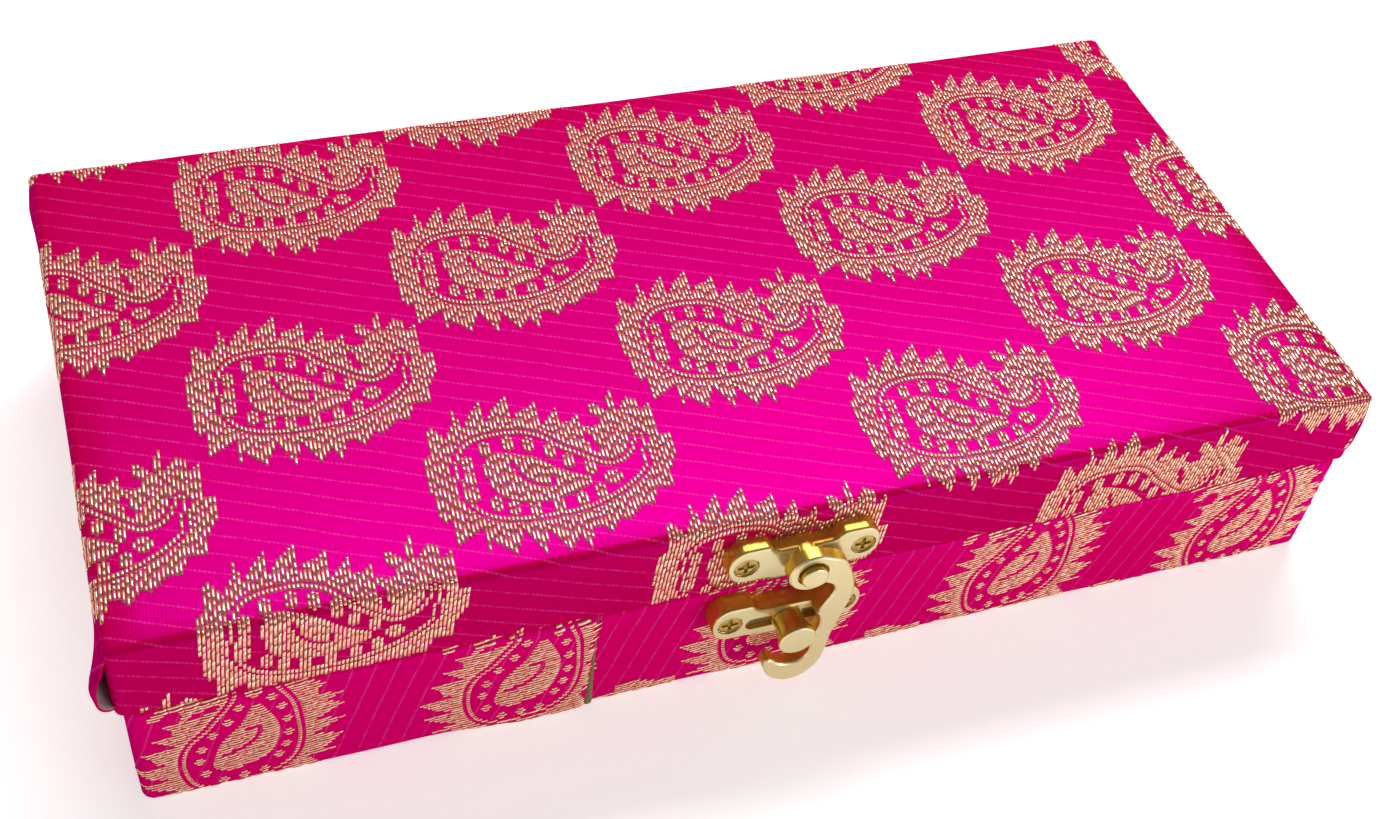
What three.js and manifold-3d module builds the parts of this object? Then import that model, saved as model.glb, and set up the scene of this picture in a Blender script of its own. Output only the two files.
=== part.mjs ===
// A wedding cash box: a shallow hinged box of thin boards covered in brocade,
// held shut by a swing-hook latch at the front and hung on two butt hinges at the back.
// Millimetres, +Z up. X runs along the box, the front faces -Y, and the origin is the
// middle of the underside.
import * as THREE from "three";
import { mergeVertices } from "three/addons/utils/BufferGeometryUtils.js";
import Module from "manifold-3d";

const wasm = await Module();
wasm.setup();

// Box, measured over the fabric
const lidLength = 203; // left to right
const boxWidth = 102; // front to back, lid and base alike
const baseHeight = 23; // underside to the parting line
const lidHeight = 15; // parting line to the top
const lidOverhang = 1; // how far the lid stands past the base at each end
const partingGap = 0.3; // between the two rims when the lid is shut
const cornerRadius = 1.5; // upright corners
const lidEdgeRadius = 1; // the lid's top edges

// Boards, fabric and linings
const wallThickness = 4; // front, back and end boards
const panelThickness = 3; // floor and top boards
const fabricThickness = 0.5; // brocade on its backing paper
const liningThickness = 0.5; // plain cloth inside
const sheetThickness = 0.5; // paper sheet under the floor
const sheetInset = 3; // from the base's edges to the sheet
const hemWidth = 12; // fabric turned in under the floor
const glueLine = 0.05; // gap between glued or seated faces

// Latch, placed on the front: x from the middle of the box, heights from the parting line
const latchX = -0.3; // middle of the latch plate and the hook's pivot
const catchX = -1.6; // middle of the catch plate and its post
const latchEarRise = 8.2; // latch plate's screws above the parting line
const catchEarDrop = 4.9; // catch plate's screws below it
const pivotDrop = 0.2; // pivot below the latch plate's screws
const postDrop = 0.8; // post below the catch plate's screws
const earSpacing = 19; // between a plate's two screws
const earHeight = 7.4; // plates at their ends
const earReach = 2.9; // round end of a plate past its screw
const waistWidth = 8; // middle of a plate, where its edges step down
const shoulderWidth = 13.4; // where that step starts
const waistTop = 2.2; // upper edge above the screws, at the waist
const waistBottom = 4.3; // lower edge below the screws, at the waist
const latchPlateThickness = 2.8;
const catchPlateThickness = 3.4;
const plateBevel = 0.6; // eased front edges of the plates
const bossRadius = 2.7; // round seat of the hook on the latch plate
const bossHeight = 1;
const dimpleWidth = 2.6; // groove that runs out from each side of the post
const dimpleLength = 13.8;
const dimpleDepth = 1;

// Hook, as seen from the front
const hookThickness = 2.2;
const hookRunningGap = 0.2; // between the boss and the hook's back
const hookBevel = 0.3;
const eyeRadius = 3.85; // round head of the hook
const bowReach = 7.8; // arm's outer edge to the right of the pivot
const armWidth = 3.5; // arm at the bow
const shankWidth = 2.4; // arm beside the post
const pocketGap = 1.45; // between the post and the arm
const noseAngle = 42; // degrees above level at which the nose ends the pocket
const heelAngle = -32; // degrees at which the pocket runs into the shank
const seatDrop = 5.9; // from the post down to the inside of the bend
const bendThickness = 4.6; // metal below the post
const bendWidth = 10.7; // outside of the bend, left to right
const bendShift = 1.25; // middle of the bend to the right of the post
const tipWidth = 1.6; // blunt end of the hook
const tipAngle = 164; // degrees round the bend at which the tip starts

// Places on the hook's edge, as shares of the reach, radius or width they are measured along
const browOut = 0.58; // of the bow's reach, past the pivot
const browRise = 0.52; // of the eye's radius, above the pivot
const shoulderOut = 0.87; // of the bow's reach
const shoulderDrop = 0.47; // of the eye's radius, below the pivot
const elbowOut = 0.12; // of the bow's reach, past the shank
const elbowRise = 0.24; // of the pocket's radius, above the post
const shankDrop = 0.68; // of the pocket's radius, below the post
const innerDip = 0.27; // of the arm's width, either side of the bow's middle
const innerRise = 0.17; // of the bow's reach, up and down from there
const throatDrop = 0.93; // of the eye's radius, below the pivot
const throatFoot = 0.5; // of the eye's radius, where the arm's inner edge meets the eye
const outerDepth = 1.5; // of the bend's thickness, its outer curve below the middle
const innerDepth = 0.65; // of the bend's thickness, its inner curve
const innerTuck = 0.33; // of the shank's width, the inner curve short of the pocket

// Rivet and post
const rivetRadius = 1.6;
const rivetBoreGap = 0.25; // hook's bore round the rivet
const rivetHeadRadius = 2.15;
const rivetHeadGap = 0.4; // sunk seat round the rivet's head
const rivetSeatDepth = 1; // how deep that seat is cut in the hook
const rivetProud = 1; // head in front of the hook's face
const rivetEase = 0.25; // eased edge of the head
const rivetGrip = 2; // shank inside the plate
const rivetFit = 0.1; // rivet and post shanks in their plates
const postRootRadius = 2.4;
const postHeadRadius = 3.1;
const postLength = 4.9; // in front of the catch plate
const postShankRadius = 1.5;
const flareStart = 0.3; // of the post's length, where it starts to widen
const flareMiddle = 0.55;
const flareEnd = 0.8; // where it is as wide as its head
const postGrip = 2; // shank inside the plate

// Screws: shank radius, head radius, length under the cone of the head, and how far the head
// is sunk below the face
const latchScrew = { shank: 1, head: 2, length: 4.6, sunk: 0.3 };
const hingeScrew = { shank: 0.8, head: 1.6, length: 3.4, sunk: 0 };
const screwGap = 0.1; // holes round the screws
const screwCrown = 0.2; // rise of the head's crown
const recessWidth = 0.55; // cross slot in the head
const recessDepth = 0.5;
const recessShare = 0.65; // half of the slot's length, of the head's radius
const crownShare = 0.6; // flat of the crown, of the head's radius

// Hinges
const hingeInset = 38.5; // from the base's ends to the middles of the hinges
const leafWidth = 20; // along the pin
const leafHeight = 11; // from the pin's axis
const leafThickness = 1;
const leafCorner = 1.5;
const leafGap = 0.3; // leaf edge above or below the pin's axis
const leafScrewInset = 4.5; // from the leaf's ends to its screws
const leafScrewRise = 6.6; // screws above or below the pin's axis
const barrelRadius = 1.9;
const barrelStandoff = 0.2; // between the barrel and the fabric
const knuckleCount = 5;
const knuckleGap = 0.3; // end play between knuckles
const notchGap = 0.3; // each leaf's notches round the other's knuckles
const pinRadius = 0.9;
const pinGap = 0.15; // knuckle bores round the pin
const pinProud = 0.4; // pin past the outer knuckles

// Facets and margins
const roundFacets = 24; // rivet, post and boss
const smallFacets = 12; // screws
const cornerFacets = 4; // half of a quarter turn at the box's corners
const curveFacets = 8; // half of a plate's round ends
const eyeFacets = 28; // half of the hook's eye
const edgeSteps = 3; // lid's rounded top edges
const plateSteps = 2; // eased edges of the plates
const hookSteps = 1; // eased edges of the hook
const leastRadius = 0.05; // smallest corner that is still drawn
const cutMargin = 1; // cutting shapes run past the faces they cut
const weldDistance = 1e-4; // corners closer than this are one

// Levels worked out from the sizes above
const baseLength = lidLength - 2 * lidOverhang;
const skin = fabricThickness + glueLine; // outside of the fabric to the boards
const baseRim = baseHeight - partingGap / 2;
const lidRim = baseHeight + partingGap / 2;
const lidTop = baseHeight + lidHeight;
const hemBottom = sheetThickness + glueLine;
const floorBottom = hemBottom + skin;
const floorTop = floorBottom + panelThickness;
const lidPanelTop = lidTop - skin;
const lidPanelBottom = lidPanelTop - panelThickness;

// Finishes, each piece takes a material of its own from one of these
const brocade = { color: 0xc8005f, roughness: 0.6, metalness: 0 };
const lining = { color: 0x9c0a4c, roughness: 0.8, metalness: 0 };
const board = { color: 0xb08a5c, roughness: 0.85, metalness: 0 };
const paper = { color: 0x6e1038, roughness: 0.9, metalness: 0 };
const gold = { color: 0xe0bf6c, roughness: 0.18, metalness: 1 };

// A closed geometry as a solid that can be joined and cut.
function solid(geometry) {
  const loose = geometry.index ? geometry.toNonIndexed() : geometry;
  const bare = new THREE.BufferGeometry();
  bare.setAttribute("position", loose.getAttribute("position"));
  const merged = mergeVertices(bare, weldDistance);
  const triVerts = new Uint32Array(merged.index.array);
  const vertProperties = merged.attributes.position.array;
  return new wasm.Manifold(new wasm.Mesh({ numProp: 3, vertProperties, triVerts }));
}

// A finished solid as a named mesh in a group.
function piece(group, name, body, finish) {
  const made = body.getMesh();
  const geometry = new THREE.BufferGeometry();
  geometry.setAttribute("position", new THREE.BufferAttribute(made.vertProperties, 3));
  geometry.setIndex(new THREE.BufferAttribute(made.triVerts, 1));
  const mesh = new THREE.Mesh(geometry, new THREE.MeshStandardMaterial(finish));
  mesh.name = name;
  group.add(mesh);
}

// A box between two corners.
function slab(low, high) {
  const size = high.map((value, axis) => value - low[axis]);
  const middle = high.map((value, axis) => (value + low[axis]) / 2);
  return solid(new THREE.BoxGeometry(...size).translate(...middle));
}

// A rectangle about the origin with round corners.
function roundedRectangle(width, depth, radius) {
  const x = width / 2 - radius;
  const y = depth / 2 - radius;
  const shape = new THREE.Shape();
  shape.absarc(x, y, radius, 0, Math.PI / 2);
  shape.absarc(-x, y, radius, Math.PI / 2, Math.PI);
  shape.absarc(-x, -y, radius, Math.PI, 1.5 * Math.PI);
  shape.absarc(x, -y, radius, 1.5 * Math.PI, 2 * Math.PI);
  return shape;
}

// A flat shape drawn up from one level to another.
function prism(shape, bottom, top, curveSegments = cornerFacets) {
  const settings = { depth: top - bottom, bevelEnabled: false, curveSegments };
  return new THREE.ExtrudeGeometry(shape, settings).translate(0, 0, bottom);
}

// The same with its upper edges eased over a number of steps.
function easedPrism(shape, bottom, top, radius, bevelSegments, curveSegments = cornerFacets) {
  const settings = {
    depth: top - bottom - radius,
    bevelThickness: radius,
    bevelSize: radius,
    bevelOffset: -radius,
    bevelSegments,
    curveSegments,
  };
  const geometry = new THREE.ExtrudeGeometry(shape, settings).translate(0, 0, bottom);
  geometry.computeBoundingBox();
  const { min, max } = geometry.boundingBox;
  return solid(geometry).intersect(slab([min.x, min.y, bottom], [max.x, max.y, max.z]));
}

// A solid turned about the Z axis from a profile of radius and height.
function turned(profile, facets) {
  const points = profile.map(([radius, height]) => new THREE.Vector2(radius, height));
  return new THREE.LatheGeometry(points, facets).rotateX(Math.PI / 2);
}

function rod(radius, bottom, top, facets) {
  return turned([[0, bottom], [radius, bottom], [radius, top], [0, top]], facets);
}

// A front view's frame: x to the right, y up, z out of the face, seen from outside.
const frontFrame = new THREE.Matrix4().makeRotationX(Math.PI / 2).setPosition(0, -boxWidth / 2, 0);

function backFrame(x) {
  const turn = new THREE.Matrix4().makeRotationZ(Math.PI);
  const tilt = new THREE.Matrix4().makeRotationX(Math.PI / 2);
  return turn.multiply(tilt).setPosition(x, boxWidth / 2, 0);
}

function framedGroup(frame) {
  const group = new THREE.Group();
  group.applyMatrix4(frame);
  return group;
}

// The base's or the lid's outer form, drawn in by an inset on every side.
function baseForm(inset) {
  const radius = Math.max(cornerRadius - inset, leastRadius);
  const outline = roundedRectangle(baseLength - 2 * inset, boxWidth - 2 * inset, radius);
  return solid(prism(outline, hemBottom + inset, baseRim - inset));
}

function lidForm(inset) {
  const corner = Math.max(cornerRadius - inset, 2 * leastRadius);
  const edge = Math.min(Math.max(lidEdgeRadius - inset, leastRadius), corner - leastRadius);
  const outline = roundedRectangle(lidLength - 2 * inset, boxWidth - 2 * inset, corner);
  return easedPrism(outline, lidRim + inset, lidTop - inset, edge, edgeSteps);
}

// Four boards with the ends held between the front and the back.
function wallBoards(form, length, bottom, top) {
  const x = length / 2 - skin;
  const y = boxWidth / 2 - skin;
  const innerX = x - wallThickness;
  const innerY = y - wallThickness;
  const endY = innerY - glueLine;
  return {
    front: slab([-x, -y, bottom], [x, -innerY, top]).intersect(form),
    back: slab([-x, innerY, bottom], [x, y, top]).intersect(form),
    left: slab([-x, -endY, bottom], [-innerX, endY, top]),
    right: slab([innerX, -endY, bottom], [x, endY, top]),
  };
}

// A thin ring of cloth against the inside of the boards, and the room inside it.
function liningRing(length, bottom, top) {
  const x = length / 2 - skin - wallThickness - glueLine;
  const y = boxWidth / 2 - skin - wallThickness - glueLine;
  const roomX = x - liningThickness;
  const roomY = y - liningThickness;
  const room = slab([-roomX, -roomY, bottom - cutMargin], [roomX, roomY, top + cutMargin]);
  return { ring: slab([-x, -y, bottom], [x, y, top]).subtract(room), roomX, roomY };
}

// A screw's profile from its point to the crown of its head.
function screwProfile({ shank, head, length }) {
  const rise = head - shank;
  const crown = rise + screwCrown;
  return [
    [0, -length],
    [shank, shank - length],
    [shank, 0],
    [head, rise],
    [head * crownShare, crown],
    [0, crown],
  ];
}

// The hole round a screw, open to the front past its head.
function holeProfile({ shank, head, length, sunk }) {
  const rise = head - shank;
  const front = rise + sunk + screwCrown + cutMargin;
  return [
    [0, -length - screwGap],
    [shank + screwGap, shank - length],
    [shank + screwGap, 0],
    [head + screwGap, rise],
    [head + screwGap, front],
    [0, front],
  ];
}

function screwBody(size) {
  const crown = size.head - size.shank + screwCrown;
  const reach = size.head * recessShare;
  const half = recessWidth / 2;
  const foot = crown - recessDepth;
  const front = crown + cutMargin;
  const across = slab([-reach, -half, foot], [reach, half, front]);
  const upright = slab([-half, -reach, foot], [half, reach, front]);
  return solid(turned(screwProfile(size), smallFacets)).subtract(across).subtract(upright);
}

// How far the foot of the head's cone lies below the face.
function screwSeat(size) {
  return size.head - size.shank + size.sunk;
}

function screwHole(size, x, y, face) {
  const geometry = turned(holeProfile(size), smallFacets);
  return geometry.translate(x, y, face - screwSeat(size));
}

function addScrew(group, name, size, x, y, face) {
  piece(group, name, screwBody(size), gold);
  group.children.at(-1).position.set(x, y, face - screwSeat(size));
}

// Latch places, in the front frame
const pivot = new THREE.Vector2(latchX, baseHeight + latchEarRise - pivotDrop);
const post = new THREE.Vector2(catchX, baseHeight - catchEarDrop - postDrop);
const latchEars = [-1, 1].map((side) => [latchX + (side * earSpacing) / 2, baseHeight + latchEarRise]);
const catchEars = [-1, 1].map((side) => [catchX + (side * earSpacing) / 2, baseHeight - catchEarDrop]);
const latchFace = glueLine + latchPlateThickness;
const catchFace = glueLine + catchPlateThickness;
const hookBack = latchFace + bossHeight + hookRunningGap;
const hookFace = hookBack + hookThickness;

const latchHoles = latchEars.map(([x, y]) => screwHole(latchScrew, x, y, latchFace));
const catchHoles = catchEars.map(([x, y]) => screwHole(latchScrew, x, y, catchFace));

// Hinge places: pin and screws in a back frame whose middle is the hinge's middle
const pinOut = barrelStandoff + barrelRadius;
const leafFace = glueLine + leafThickness;
const hingeX = [hingeInset - baseLength / 2, baseLength / 2 - hingeInset];
const leafScrewX = [leafScrewInset - leafWidth / 2, leafWidth / 2 - leafScrewInset];

// Leaf screws above the pin (side 1) or below it (side -1), one pair for each hinge.
function leafHoles(side) {
  return leafScrewX.map((x) => screwHole(hingeScrew, x, baseHeight + side * leafScrewRise, leafFace));
}

function cutAll(body, holes) {
  return holes.reduce((left, hole) => left.subtract(solid(hole)), body);
}

function holesInBox(side) {
  const faceHoles = side > 0 ? latchHoles : catchHoles;
  const front = faceHoles.map((hole) => hole.clone().applyMatrix4(frontFrame));
  const back = hingeX.flatMap((x) => leafHoles(side).map((hole) => hole.applyMatrix4(backFrame(x))));
  return { front, back };
}

function addBase(group) {
  const holes = holesInBox(-1);
  const form = baseForm(skin);
  const wallTop = baseRim - skin;
  const wallBottom = floorTop + glueLine;
  const far = baseLength;
  const floor = slab([-far, -far, floorBottom], [far, far, floorTop]).intersect(form);
  const walls = wallBoards(form, baseLength, wallBottom, wallTop);
  const { ring, roomX, roomY } = liningRing(baseLength, wallBottom, wallTop);
  const sheetX = baseLength / 2 - sheetInset;
  const sheetY = boxWidth / 2 - sheetInset;
  const hemX = baseLength / 2 - hemWidth;
  const hemY = boxWidth / 2 - hemWidth;
  const mouth = slab([-roomX, -roomY, floorTop], [roomX, roomY, baseRim + cutMargin]);
  const under = slab([-hemX, -hemY, 0], [hemX, hemY, floorTop]);
  const wrap = baseForm(0).subtract(baseForm(fabricThickness)).subtract(mouth).subtract(under);
  const liningX = roomX - glueLine;
  const liningY = roomY - glueLine;
  const liningTop = wallBottom + liningThickness;

  piece(group, "base_bottom_sheet", slab([-sheetX, -sheetY, 0], [sheetX, sheetY, sheetThickness]), paper);
  piece(group, "base_floor_panel", floor, board);
  piece(group, "base_front_wall", cutAll(walls.front, holes.front), board);
  piece(group, "base_back_wall", cutAll(walls.back, holes.back), board);
  piece(group, "base_left_wall", walls.left, board);
  piece(group, "base_right_wall", walls.right, board);
  piece(group, "base_fabric_wrap", cutAll(cutAll(wrap, holes.front), holes.back), brocade);
  piece(group, "base_wall_lining", ring, lining);
  const cloth = slab([-liningX, -liningY, wallBottom], [liningX, liningY, liningTop]);
  piece(group, "base_floor_lining", cloth, lining);
}

function addLid(group) {
  const holes = holesInBox(1);
  const form = lidForm(skin);
  const wallBottom = lidRim + skin;
  const wallTop = lidPanelBottom - glueLine;
  const far = lidLength;
  const panel = slab([-far, -far, lidPanelBottom], [far, far, lidPanelTop]).intersect(form);
  const walls = wallBoards(form, lidLength, wallBottom, wallTop);
  const { ring, roomX, roomY } = liningRing(lidLength, wallBottom, wallTop);
  const mouth = slab([-roomX, -roomY, lidRim - cutMargin], [roomX, roomY, lidPanelBottom]);
  const cover = lidForm(0).subtract(lidForm(fabricThickness)).subtract(mouth);
  const liningX = roomX - glueLine;
  const liningY = roomY - glueLine;
  const liningBottom = wallTop - liningThickness;

  piece(group, "lid_top_panel", panel, board);
  piece(group, "lid_front_wall", cutAll(walls.front, holes.front), board);
  piece(group, "lid_back_wall", cutAll(walls.back, holes.back), board);
  piece(group, "lid_left_wall", walls.left, board);
  piece(group, "lid_right_wall", walls.right, board);
  piece(group, "lid_fabric_cover", cutAll(cutAll(cover, holes.front), holes.back), brocade);
  piece(group, "lid_wall_lining", ring, lining);
  const cloth = slab([-liningX, -liningY, liningBottom], [liningX, liningY, wallTop]);
  piece(group, "lid_lining_panel", cloth, lining);
}

// The outline shared by both latch plates: two round ears and a waist set a little lower.
function plateOutline(x, y) {
  const ear = earSpacing / 2;
  const high = earHeight / 2;
  const waist = waistWidth / 2;
  const shoulder = shoulderWidth / 2;
  const middle = (waist + shoulder) / 2;
  const shape = new THREE.Shape();
  shape.absellipse(x + ear, y, earReach, high, -Math.PI / 2, Math.PI / 2);
  shape.lineTo(x + shoulder, y + high);
  shape.bezierCurveTo(x + middle, y + high, x + middle, y + waistTop, x + waist, y + waistTop);
  shape.lineTo(x - waist, y + waistTop);
  shape.bezierCurveTo(x - middle, y + waistTop, x - middle, y + high, x - shoulder, y + high);
  shape.absellipse(x - ear, y, earReach, high, Math.PI / 2, 1.5 * Math.PI);
  shape.lineTo(x - shoulder, y - high);
  shape.bezierCurveTo(x - middle, y - high, x - middle, y - waistBottom, x - waist, y - waistBottom);
  shape.lineTo(x + waist, y - waistBottom);
  shape.bezierCurveTo(x + middle, y - waistBottom, x + middle, y - high, x + shoulder, y - high);
  shape.lineTo(x + ear, y - high);
  return shape;
}

function latchPlate() {
  const outline = plateOutline(latchX, baseHeight + latchEarRise);
  const plate = easedPrism(outline, glueLine, latchFace, plateBevel, plateSteps, curveFacets);
  const boss = rod(bossRadius, glueLine, latchFace + bossHeight, roundFacets);
  const bore = rod(rivetRadius + rivetFit, latchFace - rivetGrip, hookFace, roundFacets);
  const joined = plate.add(solid(boss.translate(pivot.x, pivot.y, 0)));
  return cutAll(joined, [...latchHoles, bore.translate(pivot.x, pivot.y, 0)]);
}

function catchPlate() {
  const outline = plateOutline(catchX, baseHeight - catchEarDrop);
  const plate = easedPrism(outline, glueLine, catchFace, plateBevel, plateSteps, curveFacets);
  const slot = roundedRectangle(dimpleLength, dimpleWidth, dimpleWidth / 2 - leastRadius);
  const dimple = prism(slot, catchFace - dimpleDepth, catchFace + cutMargin, curveFacets);
  const seat = rod(postRootRadius + rivetFit, glueLine, catchFace, roundFacets);
  const bore = rod(postShankRadius + rivetFit, catchFace - postGrip, catchFace + cutMargin, roundFacets);
  const boss = solid(seat.translate(post.x, post.y, 0));
  const dimpled = plate.subtract(solid(dimple.translate(post.x, post.y, 0))).add(boss);
  return cutAll(dimpled, [...catchHoles, bore.translate(post.x, post.y, 0)]);
}

// The hook's edge from the eye's top down the outer side, round the bend to the tip, and back
// up the inner side: along the bend, round the post's pocket to the nose, and into the bow.
function hookOutline() {
  const pocket = postHeadRadius + pocketGap;
  const seat = post.y - postHeadRadius - seatDrop;
  const bend = new THREE.Vector2(post.x + bendShift, seat + bendThickness / 2);
  const outerX = bendWidth / 2;
  const outerY = bendThickness * outerDepth;
  const innerX = post.x + pocket - bend.x - shankWidth * innerTuck;
  const innerY = bendThickness * innerDepth;
  const bowY = (pivot.y + post.y) / 2;
  const shank = pocket + shankWidth;
  const heel = THREE.MathUtils.degToRad(heelAngle);
  const nose = THREE.MathUtils.degToRad(noseAngle);
  const tip = THREE.MathUtils.degToRad(-tipAngle);
  const bowInner = pivot.x + bowReach - armWidth;
  const shape = new THREE.Shape();
  shape.moveTo(pivot.x, pivot.y + eyeRadius);
  shape.splineThru([
    new THREE.Vector2(pivot.x + browOut * bowReach, pivot.y + browRise * eyeRadius),
    new THREE.Vector2(pivot.x + shoulderOut * bowReach, pivot.y - shoulderDrop * eyeRadius),
    new THREE.Vector2(pivot.x + bowReach, bowY),
    new THREE.Vector2(post.x + shank + elbowOut * bowReach, post.y + elbowRise * pocket),
    new THREE.Vector2(post.x + shank, post.y - shankDrop * pocket),
    new THREE.Vector2(bend.x + outerX, bend.y),
  ]);
  shape.absellipse(bend.x, bend.y, outerX, outerY, 0, tip, true);
  shape.quadraticCurveTo(
    bend.x - outerX,
    bend.y + tipWidth / 2,
    bend.x - outerX + tipWidth,
    bend.y - tipWidth / 4,
  );
  shape.quadraticCurveTo(bend.x - outerX / 2, seat, bend.x, seat);
  shape.absellipse(bend.x, seat + innerY, innerX, innerY, -Math.PI / 2, 0, false);
  shape.lineTo(post.x + pocket * Math.cos(heel), post.y + pocket * Math.sin(heel));
  shape.absarc(post.x, post.y, pocket, heel, nose, false);
  shape.splineThru([
    new THREE.Vector2(bowInner - innerDip * armWidth, bowY - innerRise * bowReach),
    new THREE.Vector2(bowInner, bowY + innerRise * bowReach),
    new THREE.Vector2(bowInner - innerDip * armWidth, pivot.y - throatDrop * eyeRadius),
    new THREE.Vector2(pivot.x, pivot.y - throatFoot * eyeRadius),
  ]);
  return shape;
}

function latchHook() {
  const arm = easedPrism(hookOutline(), hookBack, hookFace, hookBevel, hookSteps);
  const ring = new THREE.Shape().absarc(pivot.x, pivot.y, eyeRadius, 0, 2 * Math.PI);
  const eye = easedPrism(ring, hookBack, hookFace, hookBevel, hookSteps, eyeFacets);
  const front = hookFace + cutMargin;
  const bore = rod(rivetRadius + rivetBoreGap, hookBack - cutMargin, front, roundFacets);
  const sunkRadius = rivetHeadRadius + rivetHeadGap;
  const sunk = rod(sunkRadius, hookFace - rivetSeatDepth, front, roundFacets);
  const cuts = [bore, sunk].map((cut) => cut.translate(pivot.x, pivot.y, 0));
  return cutAll(arm.add(eye), cuts);
}

function pivotRivet() {
  const seat = hookFace - rivetSeatDepth + hookRunningGap;
  const face = hookFace + rivetProud;
  const profile = [
    [0, latchFace - rivetGrip + rivetFit],
    [rivetRadius, latchFace - rivetGrip + rivetFit],
    [rivetRadius, seat],
    [rivetHeadRadius, seat],
    [rivetHeadRadius, face - rivetEase],
    [rivetHeadRadius - rivetEase, face],
    [0, face],
  ];
  return solid(turned(profile, roundFacets).translate(pivot.x, pivot.y, 0));
}

// The post flares from its root to a flat head, so the hook can't slip off forwards.
function catchPost() {
  const root = catchFace + glueLine;
  const face = catchFace + postLength;
  const ease = (postHeadRadius - postRootRadius) / 3;
  const profile = [
    [0, catchFace - postGrip + rivetFit],
    [postShankRadius, catchFace - postGrip + rivetFit],
    [postShankRadius, root],
    [postRootRadius, root],
    [postRootRadius, root + flareStart * postLength],
    [postRootRadius + ease, root + flareMiddle * postLength],
    [postHeadRadius, root + flareEnd * postLength],
    [postHeadRadius, face - ease],
    [postHeadRadius - ease, face],
    [0, face],
  ];
  return solid(turned(profile, roundFacets).translate(post.x, post.y, 0));
}

// Knuckle spans along the pin: even ones belong to the base's leaf, odd ones to the lid's.
function knuckleSpans(parity) {
  const step = leafWidth / knuckleCount;
  const spans = [];
  for (let index = parity; index < knuckleCount; index += 2) {
    const start = -leafWidth / 2 + index * step;
    spans.push([start + knuckleGap / 2, start + step - knuckleGap / 2]);
  }
  return spans;
}

// A rod along the pin's axis, in a hinge's own frame.
function pinRod(radius, start, end) {
  const geometry = rod(radius, start, end, 2 * smallFacets).rotateY(Math.PI / 2);
  return solid(geometry.translate(0, baseHeight, pinOut));
}

function hingeLeaf(side) {
  const outline = roundedRectangle(leafWidth, 2 * leafHeight, leafCorner);
  const plate = solid(prism(outline, glueLine, leafFace).translate(0, baseHeight, 0));
  const far = leafWidth;
  const near = baseHeight + side * leafGap;
  const end = baseHeight + side * 2 * leafHeight;
  const half = slab([-far, Math.min(near, end), 0], [far, Math.max(near, end), leafFace + cutMargin]);
  const parity = side > 0 ? 1 : 0;
  let leaf = plate.intersect(half);
  for (const [start, stop] of knuckleSpans(1 - parity))
    leaf = leaf.subtract(pinRod(barrelRadius + notchGap, start - knuckleGap, stop + knuckleGap));
  for (const [start, stop] of knuckleSpans(parity)) leaf = leaf.add(pinRod(barrelRadius, start, stop));
  return cutAll(leaf.subtract(pinRod(pinRadius + pinGap, -far, far)), leafHoles(side));
}

// Two groups turn together: everything on the base, and everything on the lid.
const base = new THREE.Group();
const lid = new THREE.Group();
addBase(base);
addLid(lid);

const latchOnLid = framedGroup(frontFrame);
const catchOnBase = framedGroup(frontFrame);
const hook = framedGroup(frontFrame);
piece(latchOnLid, "latch_plate", latchPlate(), gold);
piece(latchOnLid, "latch_pivot_rivet", pivotRivet(), gold);
piece(catchOnBase, "catch_plate", catchPlate(), gold);
piece(catchOnBase, "catch_post", catchPost(), gold);
piece(hook, "latch_hook", latchHook(), gold);
["left", "right"].forEach((side, index) => {
  addScrew(latchOnLid, `latch_plate_screw_${side}`, latchScrew, ...latchEars[index], latchFace);
  addScrew(catchOnBase, `catch_plate_screw_${side}`, latchScrew, ...catchEars[index], catchFace);
});
base.add(catchOnBase);
lid.add(latchOnLid, hook);

["left", "right"].forEach((side, index) => {
  const onBase = framedGroup(backFrame(hingeX[index]));
  const onLid = framedGroup(backFrame(hingeX[index]));
  const pinEnd = leafWidth / 2 - knuckleGap / 2 + pinProud;
  piece(onBase, `${side}_hinge_base_leaf`, hingeLeaf(-1), gold);
  piece(onBase, `${side}_hinge_pin`, pinRod(pinRadius, -pinEnd, pinEnd), gold);
  piece(onLid, `${side}_hinge_lid_leaf`, hingeLeaf(1), gold);
  leafScrewX.forEach((x, count) => {
    const low = baseHeight - leafScrewRise;
    const high = baseHeight + leafScrewRise;
    addScrew(onBase, `${side}_hinge_base_screw_${count + 1}`, hingeScrew, x, low, leafFace);
    addScrew(onLid, `${side}_hinge_lid_screw_${count + 1}`, hingeScrew, x, high, leafFace);
  });
  base.add(onBase);
  lid.add(onLid);
});

const cashBox = new THREE.Group();
cashBox.add(base, lid);
export default cashBox;
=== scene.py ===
# %% [markdown]
# # A brocade cash box
# The box comes from CAD as plain solids in metres: boards, thin cloth shells and a latch.
# This lesson dresses them. The cloth shells become real cloth with folded edges, the paisley
# becomes raised gold thread, and the latch and hinges become polished metal.

# %% Load the frame
import math

import bmesh
import bpy
import numpy as np
from mathutils import Matrix, Vector


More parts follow.
